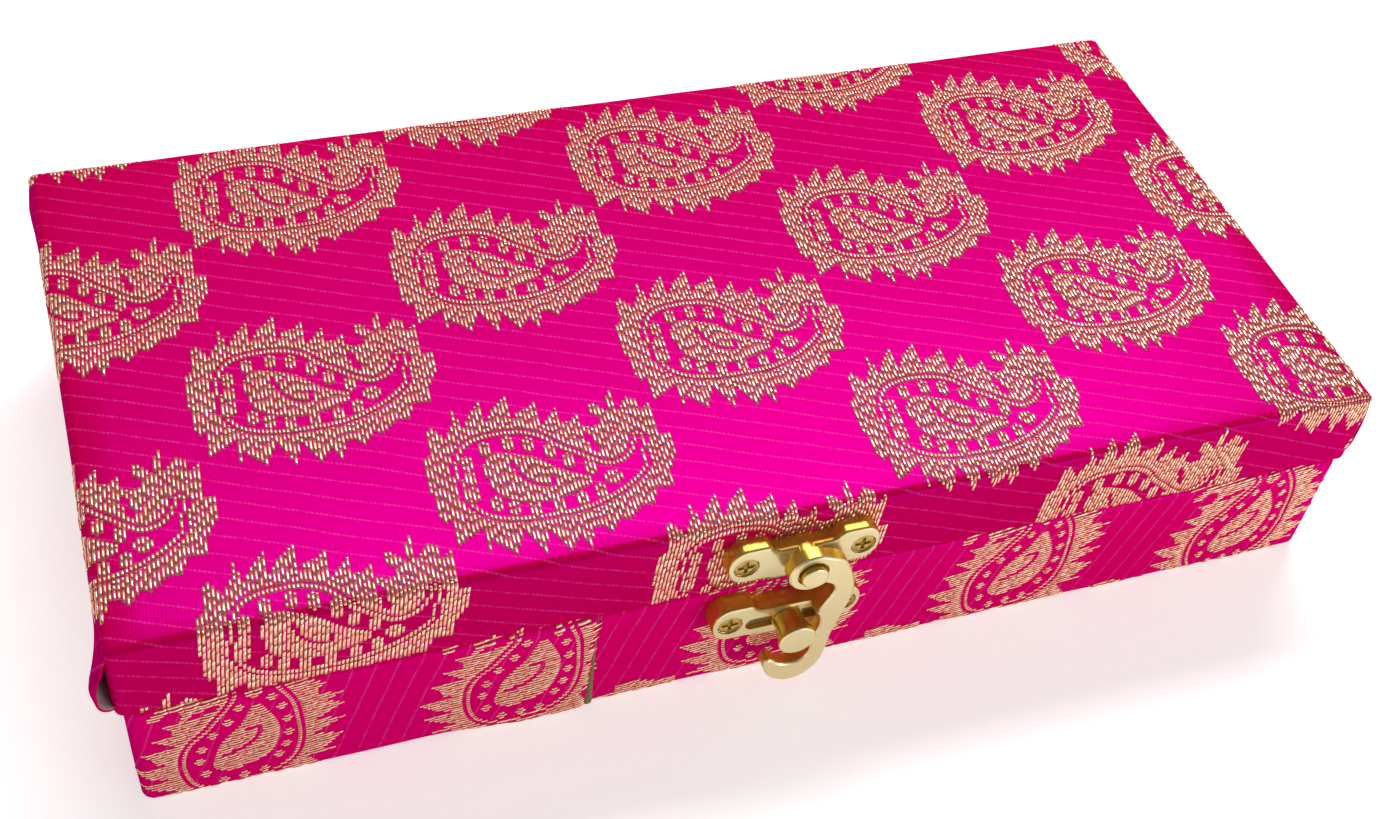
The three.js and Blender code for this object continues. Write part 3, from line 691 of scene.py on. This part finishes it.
SLIT = [(9, 10), (10, 7), (11, 4)]  # bare ground where the tail curls back to the body
NECKLACE = [
    (-17, 9), (-11, 10), (-6, 9), (-1, 6), (3, 2), (8, -1), (9, -9), (4, -11), (-2, -12), (-8, -12),
    (-13, -11), (-17, -9), (-22, -5), (-22, 0), (-22, 5),
]
EYE, EYE_SIZE = (13, -5), (2.2, 2.2)
RING = 1.0  # squares, the gold line round the teardrop
GROOVE = 0.9  # squares of bare ground outside that line
SWIRL_WIDTH = 1.2  # squares
SLIT_WIDTH = 1.8  # squares


def through(points, closed, fineness=8):
    p = np.array(points, float)
    if not closed:
        p = np.concatenate((p[:1], p, p[-1:]))
    t = np.linspace(0, 1, fineness, endpoint=False)[:, None]
    stretches = []
    for k in range(len(p) if closed else len(p) - 3):
        a, b, c, d = (p[(k + n) % len(p)] for n in range(4))
        bend = (2 * a - 5 * b + 4 * c - d) * t**2 + (3 * b - a - 3 * c + d) * t**3
        stretches.append(b + 0.5 * ((c - a) * t + bend))
    return np.concatenate(stretches)


def distance(points, line, closed):
    ends = np.roll(line, -1, 0) if closed else line[1:]
    away = np.full(len(points), np.inf)
    for a, b in zip(line, ends):
        run = b - a
        t = np.clip((points - a) @ run / (run @ run), 0, 1)
        away = np.minimum(away, np.linalg.norm(points - a - t[:, None] * run, axis=1))
    return away


def inside(points, line):
    found = np.zeros(len(points), bool)
    for (x0, y0), (x1, y1) in zip(line, np.roll(line, -1, 0)):
        crosses = (y0 > points[:, 1]) != (y1 > points[:, 1])
        slope = (x1 - x0) / (y1 - y0) if y1 != y0 else 0
        found ^= crosses & (points[:, 0] < x0 + (points[:, 1] - y0) * slope)
    return found


def spot(points, middle, size):
    return (((points - middle) / size) ** 2).sum(1) < 1


def is_gold(points, dot_size):
    teardrop = through(TEARDROP, True)
    field = inside(points, teardrop)
    away = distance(points, teardrop, True)
    slit = distance(points, through(SLIT, False), False) < SLIT_WIDTH / 2
    band = inside(points, np.array(FLAMES)) & ~field & (away > RING + GROOVE) & ~slit
    ring = ~field & (away < RING)
    swirl = distance(points, through(SWIRL, False), False) < SWIRL_WIDTH / 2
    kernel = inside(points, through(KERNEL, True)) & ~swirl
    dots = spot(points, EYE, EYE_SIZE)
    for middle in NECKLACE:
        dots |= spot(points, middle, dot_size)
    return band | ring | (field & (kernel | dots))


print("motif:", len(FLAMES), "flame points,", len(TEARDROP), "teardrop points,", len(NECKLACE), "dots")

# %% [markdown]
# ## Floats of one motif
# On the loom the motif is woven column by column: the gold float shows where the motif is and
# dives where it isn't, and a tie holds it about every 2 mm. The same is done here. Each column
# is cut where it leaves the motif, and each stretch between two ties becomes one small float.

# %% Floats of one motif
COLUMNS = range(-32, 33)  # squares across the motif
UP_AND_DOWN = 28  # squares up and down from its middle
FINE_STEP = 0.07  # squares between the places where a column is tested
TIE = 2.0  # mm between ties, on average
SHORTEST = 0.3  # mm, a float that is shorter slips out
MOST_TIES = 20  # in one stretch
LOOSE = {"overhang": 0.2, "dot_size": (1.5, 2.4)}  # on the lid, floats spring past their last square
TIGHT = {"overhang": 0.0, "dot_size": (1.2, 1.4)}  # on the base, the strip is pulled along its floats
loom = np.random.default_rng(3)


def motif_floats(overhang, dot_size):
    floats = []
    fine = np.arange(-UP_AND_DOWN, UP_AND_DOWN, FINE_STEP)
    for column in COLUMNS:
        gold = is_gold(np.stack((np.full(len(fine), column), fine), 1), dot_size)
        edges = np.flatnonzero(np.diff(np.concatenate(([0], gold.astype(int), [0]))))
        for begin, end in zip(edges[::2], edges[1::2]):
            low = fine[begin] * SQUARE - overhang
            high = fine[min(end, len(fine) - 1)] * SQUARE + overhang
            ties = low + np.cumsum(loom.uniform(0.5, 1.5, MOST_TIES)) * TIE
            cuts = np.concatenate(([low], ties[ties < high - SHORTEST], [high]))
            floats += [(column * SQUARE, a, b) for a, b in zip(cuts, cuts[1:]) if b - a > SHORTEST]
    floats = np.array(floats)
    middles = np.stack((floats[:, 0], floats[:, 1:].mean(1)), 1)
    return middles, floats[:, 2] - floats[:, 1]


middles, lengths = motif_floats(**LOOSE)
tight_middles, tight_lengths = motif_floats(**TIGHT)
print("floats in one motif:", len(middles), "on the lid,", len(tight_middles), "on the base")

# %% [markdown]
# ## One float
# One float is a low bar with a rounded back that dips at both ends. It starts as a cube and
# keeps to a few faces, because there are tens of thousands of them. The copies are placed with
# arrays: each corner of the float goes through the wrap by itself, so floats bend over the
# edges of the box.

# %% Float shape and placing
FLOAT_FOOT = 0.58  # mm wide where it meets the cloth
FLOAT_SHOULDER = 0.40  # mm wide where the metal strip begins
FLOAT_RISE = 0.17  # mm above the cloth
FLOAT_SINK = 0.05  # mm into it
SHOULDER_RISE = 0.7  # of the rise
FLOAT_GAP = 0.04  # mm between the ends of two floats


def float_shape():
    bm = bmesh.new()
    bmesh.ops.create_cube(bm, size=1)
    lengthwise = [e for e in bm.edges if abs(e.verts[0].co.y - e.verts[1].co.y) > 0.5]
    bmesh.ops.subdivide_edges(bm, edges=lengthwise, cuts=2)
    upper = [e for e in bm.edges if min(v.co.z for v in e.verts) > 0]
    ridge = [e for e in upper if abs(e.verts[0].co.x - e.verts[1].co.x) > 0.5]
    bmesh.ops.subdivide_edges(bm, edges=ridge, cuts=1)
    for vert in bm.verts:
        crown = abs(vert.co.x) < 0.25
        if vert.co.z > 0:
            vert.co.x *= FLOAT_SHOULDER
            vert.co.z = FLOAT_RISE * (1 if crown else SHOULDER_RISE)
        else:
            vert.co.x *= FLOAT_FOOT
            vert.co.z = -FLOAT_SINK
    bmesh.ops.triangulate(bm, faces=bm.faces)
    bm.verts.index_update()
    corners = np.array([v.co for v in bm.verts])
    faces = np.array([[v.index for v in f.verts] for f in bm.faces])
    strip = np.array([min(v.co.z for v in f.verts) > 0 and abs(f.normal.y) < 0.5 for f in bm.faces])
    bm.free()
    return corners, faces, strip


float_corners, float_faces, float_strip = float_shape()
chance = np.random.default_rng(7)


def woven(name, centres, across, lengths, lay, body):
    count = len(centres)
    wide = chance.uniform(0.85, 1.02, count)
    tall = chance.uniform(0.75, 1.2, count)
    ends = chance.uniform(0.15, 0.9, (count, 2))
    corners = float_corners
    near_dip = np.where(corners[:, 1] < -0.25, 1 - ends[:, :1], 0)
    far_dip = np.where(corners[:, 1] > 0.25, 1 - ends[:, 1:], 0)
    sideways = corners[None, :, 0] * wide[:, None]
    lengthways = corners[None, :, 1] * (lengths[:, None] - FLOAT_GAP)
    standing = np.where(corners[:, 2] > 0, 1 - (near_dip + far_dip), 1)
    height = corners[None, :, 2] * tall[:, None] * standing
    cross, run = across
    flat = centres[:, None, :] + sideways[..., None] * cross + lengthways[..., None] * run
    points = lay(flat.reshape(-1, 2), height.reshape(-1), np.repeat(np.arange(count), len(corners)))
    index = (float_faces[None] + (np.arange(count) * len(corners))[:, None, None]).reshape(-1, 3)
    mesh = bpy.data.meshes.new(name)
    mesh.from_pydata((points * MM).tolist(), [], index.tolist())
    mesh.polygons.foreach_set("use_smooth", [True] * len(mesh.polygons))
    mesh.materials.append(gold_thread)
    mesh.materials.append(core_and_shade)
    # Faces off the metal strip get the core colour, with its painted shade.
    mesh.polygons.foreach_set("material_index", np.tile(np.where(float_strip, 0, 1), count))
    piece = bpy.data.objects.new(name, mesh)
    scene.collection.objects.link(piece)
    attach(piece, body)
    return piece


print("one float:", len(float_corners), "corners,", len(float_faces), "triangles")

# %% [markdown]
# ## Motifs on the lid
# The motifs lie in rows, each row half a step on from the one before. Whoever covered the lid
# pulled the cloth over the front edge, most of all at the right, and drew it in a little at
# the back of the left end, so the rows aren't quite straight there. A float belongs to the top
# or to the side that it hangs over, and one that falls in a cut-away corner is left out.

# %% Motifs on the lid
FIRST = np.array((-28.74, 11.89))  # mm, one motif's middle on the lid
IN_ROW = np.array((67.75, -3.69))  # mm to the next in its row
HALF_DROP = np.array((31.51, -24.63))  # mm to the next row
MOTIF_REACH = (145, 95)  # mm from the lid's middle, past which a motif misses the cloth
UNDER_RIM = 1.5  # mm that the gold is followed under the rim
TOP_MIDDLE = 30  # mm either side of the lid's middle, the middle piece of the gold on top
FRONT_PULL = np.array((-4.5, -2.5))  # mm at the right of the front edge
BACK_LEFT_PULL = np.array((1.0, 1.0))  # mm at the back of the left end


def share(value, none, full):
    return min(max((value - none) / (full - none), 0), 1)


# Each stretch is in mm from the lid's middle, from where nothing is pulled to the full pull.
def pulled(middle):
    x, y = middle
    over_front = share(y, -35, -60)
    along_front = np.array((share(x, -70, 66), share(x, -70, 15)))
    back_left = share(x, -40, -90) * share(y, -25, -10)
    return middle + FRONT_PULL * over_front * along_front + BACK_LEFT_PULL * back_left


def lid_motifs():
    found = []
    for i in range(-5, 6):
        for j in range(-5, 6):
            middle = pulled(FIRST + i * IN_ROW + j * HALF_DROP)
            if abs(middle[0]) < MOTIF_REACH[0] and abs(middle[1]) < MOTIF_REACH[1]:
                found.append(middle)
    return found


centres = np.concatenate([turned(middles, -LID_TURN) + m for m in lid_motifs()])
lengths_lid = np.tile(lengths, len(lid_motifs()))
depths = np.stack([centres @ side_axes(LID, side)[0] - side_axes(LID, side)[2] for side in range(4)], 1)
lid_side = depths.argmax(1)
second = np.sort(depths, 1)[:, -2]
deepest = depths.max(1)
keep = (deepest < depth_total(LID, UNDER_RIM)) & (second < half_arc)
centres, lengths_lid = centres[keep], lengths_lid[keep]
lid_side, deepest = lid_side[keep], deepest[keep]
lid_run = turned(np.array([[0.0, 1.0]]), -LID_TURN)[0]
lid_cross = turned(np.array([[1.0, 0.0]]), -LID_TURN)[0]


def lay_on_lid(sides):
    def lay(flat, height, owner):
        points = on_top(flat[:, 0], flat[:, 1], height)
        for side in range(4):
            normal, ahead, reach = side_axes(LID, side)
            depth = flat @ normal - reach
            over = (sides[owner] == side) & (depth > 0)
            along = flat[over] @ ahead
            points[over] = wrap(LID, side_start(LID, side) + along, depth[over], height[over])
        return points
    return lay


groups = {
    "lid_zari_top_left": (deepest <= 0) & (centres[:, 0] < -TOP_MIDDLE),
    "lid_zari_top_middle": (deepest <= 0) & (np.abs(centres[:, 0]) <= TOP_MIDDLE),
    "lid_zari_top_right": (deepest <= 0) & (centres[:, 0] > TOP_MIDDLE),
    "lid_zari_front": (deepest > 0) & (lid_side == 0),
    "lid_zari_right": (deepest > 0) & (lid_side == 1),
    "lid_zari_back": (deepest > 0) & (lid_side == 2),
    "lid_zari_left": (deepest > 0) & (lid_side == 3),
}
for name, chosen in groups.items():
    across = (lid_cross, lid_run)
    lay = lay_on_lid(lid_side[chosen])
    woven(name, centres[chosen], across, lengths_lid[chosen], lay, "lid")

# %% [markdown]
# ## Motifs on the base
# The strip was cut across the cloth, so its motifs stand on end. It was pulled tight along its
# length, which stretches them a little and makes the floats slimmer, and it sways up and down
# on its way round. A second column of motifs shows only its tips, along the table.

# %% Motifs on the base
BASE_PITCH = 43.3  # mm along the strip
BASE_FIRST = 41.5  # mm along the front
BASE_MIDDLE = 14.9  # mm up from the table
BASE_SWAY = 2.0  # mm that the strip sways up and down, twice on its way round
BASE_DROP = -30.2  # mm up to the next column of motifs, half a pitch on
STRETCH = np.array(((0.0, -0.95), (-1.0, 0.1)))  # along and down, for a step across and a step up
BASE_SLIM = 0.85  # stretched floats are slimmer
END_MIDDLES = (-43.3, -85.6)  # mm along the front, past the last full pitch


def strip_middle(s):
    return BASE_MIDDLE + BASE_SWAY * np.cos(4 * math.pi * (s + 10) / ROUND)


starts = np.arange(-1, 12) * BASE_PITCH + BASE_FIRST
halfway = starts[starts < ROUND - hx] - BASE_PITCH / 2
spots = [(s, strip_middle(s)) for s in starts if s < ROUND - 1.25 * hx]
spots += [(s, strip_middle(s) + BASE_DROP) for s in halfway]
spots += [(ROUND + s, strip_middle(ROUND + s)) for s in END_MIDDLES]
zero = height_on_base(np.zeros(1))[0]
centres = np.concatenate([tight_middles @ STRETCH + np.array((s0, zero - z0)) for s0, z0 in spots])
lengths_base = np.tile(tight_lengths * -STRETCH[1, 0], len(spots))
keep = (centres[:, 0] > LAP + 0.6) & (centres[:, 0] < STRIP_END - 0.4)
keep &= (centres[:, 1] > -1.5) & (centres[:, 1] < base_end + 2)
centres, lengths_base = centres[keep], lengths_base[keep]
base_cross = np.array((0.0, -1.0))
base_run = STRETCH[1] / np.linalg.norm(STRETCH[1])
quarter = np.digitize(centres[:, 0], (hx, hx + 2 * hy, 3 * hx + 2 * hy, 3 * hx + 4 * hy))


def lay_on_base(flat, height, owner):
    return on_base(flat[:, 0], flat[:, 1], height)


for number, side_name in enumerate(("front", "right", "back", "left", "lap")):
    chosen = quarter == number
    name = "base_zari_" + side_name
    across = (base_cross * BASE_SLIM, base_run)
    woven(name, centres[chosen], across, lengths_base[chosen], lay_on_base, "base")

# %% [markdown]
# ## Corner folds
# Cloth that goes round a corner has too much of itself there. On the lid it is folded flat
# against the short sides. The fold at the left front stands open, so the pale back of the
# cloth shows in its mouth, and the other three are pressed nearly shut.

# %% Corner folds of the lid
cloth_back, _, shader = new_material("pale_cloth_back")
shader.inputs["Base Color"].default_value = linear("#b9a8ad")
shader.inputs["Roughness"].default_value = 0.9
FOLD_GAP = 0.45  # mm, a closed fold above the cloth under it
FOLD_OVER = 0.8  # mm that a fold runs into the corner
FOLD_PAD = 0.9  # mm that its shut upper part stands up over the layers under it


# Heights are mm up from the table: the fold begins at top, is shut down to shut, and ends at foot.
def corner_fold(name, side, end, top, shut, foot, reach, lift):
    span = LID["half"][1] - LID["corner"]
    root = span + FOLD_OVER - reach
    along = end * np.linspace(root, span + FOLD_OVER, 17)
    fall = LID["brow"] * math.pi / 2 + LID["top"] - LID["brow"]
    depths = np.linspace(fall - foot, fall - top, 25)

    def place(a, d):
        out = np.clip((end * a - root) / reach, 0, 1)
        ease = np.clip((d - fall + top) / (top - shut), 0, 1)
        low = np.clip((d - fall + shut) / (shut - foot), 0, 1)
        pad = min(FOLD_PAD, lift) * ease * (1 - low**4)
        mouth = (lift - min(FOLD_PAD, lift)) * np.sin(math.pi * low) ** 0.5
        gap = FOLD_GAP * (1 - low**6) * np.sqrt(ease)
        return wrap(LID, side_start(LID, side) + a, d, gap + out**1.6 * (pad + mouth))

    def measure(a, d):
        return turned(lid_flat(side, a, d), LID_TURN)

    bm = cloth_panel(np.sort(along), depths, place, measure)
    fold = as_piece(bm, name, lid_satin, "lid")
    fold.data.materials.append(cloth_back)
    thicken(fold, CLOTH)
    fold.modifiers["thickness"].material_offset = 1
    return fold


folds = [
    corner_fold("lid_fold_front_left", 3, 1, top=36.4, shut=33.2, foot=24.5, reach=10, lift=2.4),
    corner_fold("lid_fold_front_right", 1, -1, top=36.0, shut=31.0, foot=24.6, reach=8, lift=0.1),
    corner_fold("lid_fold_back_left", 3, -1, top=36.0, shut=31.0, foot=24.6, reach=8, lift=0.5),
    corner_fold("lid_fold_back_right", 1, 1, top=36.0, shut=31.0, foot=24.6, reach=8, lift=0.5),
]
print("folds:", [fold.name for fold in folds])

# %% [markdown]
# ## Rolled edge
# The end of the base's strip isn't turned in. It rolls up on itself along the lap, thin at the rim and
# thick at the table. Its brown gold is painted shade: it stands for the gold of the roll turned from the
# light, and for the dark line of shade along the lap.

# %% Rolled edge of the lap
ROLL_FLECK = 0.7  # mm, the size of the brown flecks
rolled_edge_shade, tree, shader = new_material("rolled_edge_painted_shade")
where = add(tree, "ShaderNodeTexCoord").outputs["Object"]
fleck = add(tree, "ShaderNodeTexNoise", {"Vector": where, "Scale": 1 / (ROLL_FLECK * MM), "Detail": 2})
# Painted shade: the roll's gold is brown, as gold that is turned away from the light.
shaded_gold = add(
    tree, "ShaderNodeMix", {0: fleck.outputs[0], 6: linear("#6e5430"), 7: linear("#a58a5c")},
    data_type="RGBA",
)
tree.links.new(shaded_gold.outputs[2], shader.inputs["Base Color"])
shader.inputs["Roughness"].default_value = 0.6
ROLL_TOP = 0.16  # mm, radius of the roll at the rim
ROLL_FOOT = 1.0  # and at the table
ROLL_BED = 0.2  # mm that its axis lies off the cloth
ROLL_CLOTH = 0.2  # mm thick
roll_rows = steps((0.6, 0), (base_end - 0.3, 1.5))


def on_roll(angle, depth):
    radius = ROLL_TOP + (ROLL_FOOT - ROLL_TOP) * lowness(depth) ** 1.5
    height = (ROLL_BED + 1.1 * radius * np.sin(angle)) * pressed_under(depth)
    return wrap(BASE, LAP + lap_lean(depth) - radius * np.cos(angle), depth, height)


bm = cloth_panel(
    np.linspace(0, math.pi, 9), roll_rows[::-1],
    on_roll,
    lambda a, d: np.stack((-d, a), 1),
)
roll = as_piece(bm, "lap_rolled_edge", rolled_edge_shade, "base")
thicken(roll, ROLL_CLOTH)
print("rolled edge:", len(roll.data.polygons), "faces")

# %% [markdown]
# ## Linings
# Inside, a card covered with plain cloth lies on the floor and under the lid, and a strip goes
# round each wall. Both start from a block of the CAD solid's size. The card gets round corners
# and soft rims. The strip loses its top and bottom and becomes four thin walls.

# %% Linings
CARD_CORNER = 1.2  # mm
CARD_RIM = 0.2  # mm
STRIP_CORNER = 1.0  # mm
LINING_CLOTH = 0.45  # mm thick
LONG_EDGE = 20  # mm, edges past this are divided


def lining_block(node):
    low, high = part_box(node)
    bm = bmesh.new()
    bmesh.ops.create_cube(bm, size=1)
    bmesh.ops.scale(bm, vec=high - low, verts=bm.verts)
    bmesh.ops.translate(bm, vec=(low + high) / 2, verts=bm.verts)
    return bm, high - low


def rounded(bm, edges, offset, segments):
    bmesh.ops.bevel(
        bm, geom=edges, offset=offset * MM, affect="EDGES", segments=segments, profile=0.5,
        material=-1,
    )


def as_lining(bm, name, node, body):
    piece = as_piece(bm, name, lining_cloth, body)
    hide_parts(node)
    return piece


def lining_card(name, node, body):
    bm, size = lining_block(node)
    upright = [e for e in bm.edges if abs(e.verts[0].co.z - e.verts[1].co.z) > size.z / 2]
    rounded(bm, upright, CARD_CORNER, 4)
    rim = [e for e in bm.edges if not e.is_boundary and abs(e.calc_face_angle(0)) > 1.2]
    rounded(bm, rim, CARD_RIM, 2)
    return as_lining(bm, name, node, body)


def lining_walls(name, node, body):
    bm, _ = lining_block(node)
    level_faces = [f for f in bm.faces if abs(f.normal.z) > 0.9]
    bmesh.ops.delete(bm, geom=level_faces, context="FACES")
    rounded(bm, [e for e in bm.edges if not e.is_boundary], STRIP_CORNER, 4)
    level = [e for e in bm.edges if abs(e.verts[0].co.z - e.verts[1].co.z) < 1e-6]
    long = [e for e in level if e.calc_length() > LONG_EDGE * MM]
    bmesh.ops.subdivide_edges(bm, edges=long, cuts=20, use_grid_fill=True)
    walls = as_lining(bm, name, node, body)
    thicken(walls, LINING_CLOTH)
    return walls


floor_card = lining_card("floor_lining_card", "base_floor_lining", "base")
lid_card = lining_card("lid_lining_card", "lid_lining_panel", "lid")
base_walls = lining_walls("base_lining_strip", "base_wall_lining", "base")
lid_walls = lining_walls("lid_lining_strip", "lid_wall_lining", "lid")
print("linings:", floor_card.name, lid_card.name, base_walls.name, lid_walls.name)

# %% [markdown]
# ## Polished metal
# Plated castings have no sharp edges, and a rounded edge is what catches the light. A merged
# copy of each CAD solid gets its edges bevelled, and is smooth shaded apart from real corners.

# %% Rounded copies of the metal pieces
WELD = 0.002  # mm, corners closer than this are one
FLAT = math.radians(1.5)  # facets this close to level become one face
HARD = math.radians(32)  # edges past this are rounded
SHARP = math.radians(50)  # edges past this stay sharp in the shading


def polished(node, name, body, edge_mm, segments=2):
    bm = bmesh.new()
    bm.from_mesh(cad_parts[node].data)
    bmesh.ops.remove_doubles(bm, verts=bm.verts, dist=WELD * MM)
    bmesh.ops.dissolve_limit(bm, angle_limit=FLAT, verts=bm.verts, edges=bm.edges)
    hard = [e for e in bm.edges if len(e.link_faces) == 2 and e.calc_face_angle(0) > HARD]
    bmesh.ops.bevel(
        bm, geom=hard, offset=edge_mm * MM, affect="EDGES", segments=segments, profile=0.5,
        material=-1, clamp_overlap=True,
    )
    piece = as_piece(bm, name, screw_plating if "screw" in node else plating, body)
    piece.data.set_sharp_from_angle(angle=SHARP)
    flats = piece.modifiers.new("flat_faces", "WEIGHTED_NORMAL")
    flats.keep_sharp = True
    flats.weight = 100
    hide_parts(node)
    return piece


metal = [
    polished("latch_plate", "gold_latch_plate", "lid", 0.25),
    polished("latch_pivot_rivet", "gold_pivot_rivet", "lid", 0.15),
    polished("latch_hook", "gold_swing_hook", "hook", 0.2),
    polished("catch_plate", "gold_catch_plate", "base", 0.25),
    polished("catch_post", "gold_catch_post", "base", 0.15),
]
for side in ("left", "right"):
    metal.append(polished(f"latch_plate_screw_{side}", f"gold_latch_screw_{side}", "lid", 0.06, 1))
    metal.append(polished(f"catch_plate_screw_{side}", f"gold_catch_screw_{side}", "base", 0.06, 1))
    metal.append(polished(f"{side}_hinge_base_leaf", f"gold_{side}_base_leaf", "base", 0.12))
    metal.append(polished(f"{side}_hinge_lid_leaf", f"gold_{side}_lid_leaf", "lid", 0.12))
    metal.append(polished(f"{side}_hinge_pin", f"gold_{side}_pin", "base", 0.12))
    for n in (1, 2):
        for body in ("base", "lid"):
            screw = f"{side}_hinge_{body}_screw_{n}"
            metal.append(polished(screw, f"gold_{side}_{body}_screw_{n}", body, 0.05, 1))
print("metal pieces:", len(metal))

# %% [markdown]
# ## Boards and bottom sheet
# What no piece above stands for is still a CAD solid: the boards, and the sheet under the
# floor. Their shapes are right as they are, so they only get their finish.

# %% Boards and bottom sheet
for node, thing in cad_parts.items():
    if thing.hide_render:
        continue
    thing.data.materials.clear()
    thing.data.materials.append(bottom_paper if node == "base_bottom_sheet" else fibreboard)
print("boards shown:", sum(not o.hide_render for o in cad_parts.values()))

# %% [markdown]
# ## Studio
# A pale floor, a soft surround, a large key lamp behind the box and a small fill lamp in front.
# The surround is white near the horizon and greyer overhead, so polished metal has something
# light and something dark to show. The floor glows for the camera and for reflections only, so
# it looks white and still keeps the shadow of the box.

# %% Floor
FLOOR_HALF = 6  # m
FLOOR_GLOW = 0.6
bm = bmesh.new()
bmesh.ops.create_grid(bm, x_segments=1, y_segments=1, size=FLOOR_HALF)
floor_mesh = bpy.data.meshes.new("floor")
bm.to_mesh(floor_mesh)
bm.free()
floor = bpy.data.objects.new("floor", floor_mesh)
scene.collection.objects.link(floor)
floor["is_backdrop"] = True
paper, tree, shader = new_material("white_studio_paper")
shader.inputs["Base Color"].default_value = (0.92, 0.92, 0.92, 1)
shader.inputs["Roughness"].default_value = 0.9
path = add(tree, "ShaderNodeLightPath")
seen = path.outputs["Is Camera Ray"]
for ray in ("Is Glossy Ray", "Is Transmission Ray"):
    seen = add(tree, "ShaderNodeMath", {0: seen, 1: path.outputs[ray]}, operation="MAXIMUM").outputs[0]
glow = add(tree, "ShaderNodeMath", {0: seen, 1: FLOOR_GLOW}, operation="MULTIPLY")
tree.links.new(glow.outputs[0], shader.inputs["Emission Strength"])
shader.inputs["Emission Color"].default_value = linear("#ffffff")
floor_mesh.materials.append(paper)
print("floor:", floor.name, "in", paper.name)

# %% World and lamps
world = bpy.data.worlds.new("studio")
scene.world = world
world.use_nodes = True
tree = world.node_tree
tree.nodes.clear()
way = add(tree, "ShaderNodeTexCoord").outputs["Generated"]
rise = add(tree, "ShaderNodeSeparateXYZ", {0: way}).outputs[2]
shade = add(
    tree, "ShaderNodeMapRange", {0: rise, 1: 0.05, 2: 0.65, 3: 0.8, 4: 0.2},
    interpolation_type="SMOOTHSTEP",
)
side = add(tree, "ShaderNodeSeparateXYZ", {0: way}).outputs[0]
slope = add(tree, "ShaderNodeMapRange", {0: side, 1: -1.0, 2: 1.0, 3: 0.78, 4: 1.12})
level = add(tree, "ShaderNodeMath", {0: shade.outputs[0], 1: slope.outputs[0]}, operation="MULTIPLY")
ground = add(tree, "ShaderNodeBackground", {"Strength": level.outputs[0]})
add(tree, "ShaderNodeOutputWorld", {0: ground.outputs[0]})


def softbox(name, left, right, aim, height, watts):
    left, right = Vector(left), Vector(right)
    middle = (left + right) / 2
    across = (right - left).normalized()
    back = middle - Vector(aim)
    back = (back - back.dot(across) * across).normalized()
    lamp = bpy.data.lights.new(name, "AREA")
    lamp.shape = "RECTANGLE"
    lamp.size, lamp.size_y, lamp.energy = (right - left).length, height, watts
    thing = bpy.data.objects.new(name, lamp)
    thing.location = middle
    thing.rotation_euler = Matrix((across, back.cross(across), back)).transposed().to_euler()
    scene.collection.objects.link(thing)


softbox("key", (-0.12, 0.55, 0.90), (0.62, 0.40, 0.70), (0, 0, 0.02), 0.24, 6.2)
softbox("fill", (0.3, -0.85, 0.12), (0.7, -0.55, 0.12), (0, -0.05, 0.02), 0.2, 1.4)
print("studio ready")

# %% [markdown]
# ## Hand over
# The two boxes printed here are the CAD box and the dressed box.

# %% Finish
final_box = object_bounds()
for label, corners in (("cad", cad_box), ("visual", final_box)):
    print(label, [[round(x, 4) for x in corner] for corner in corners])
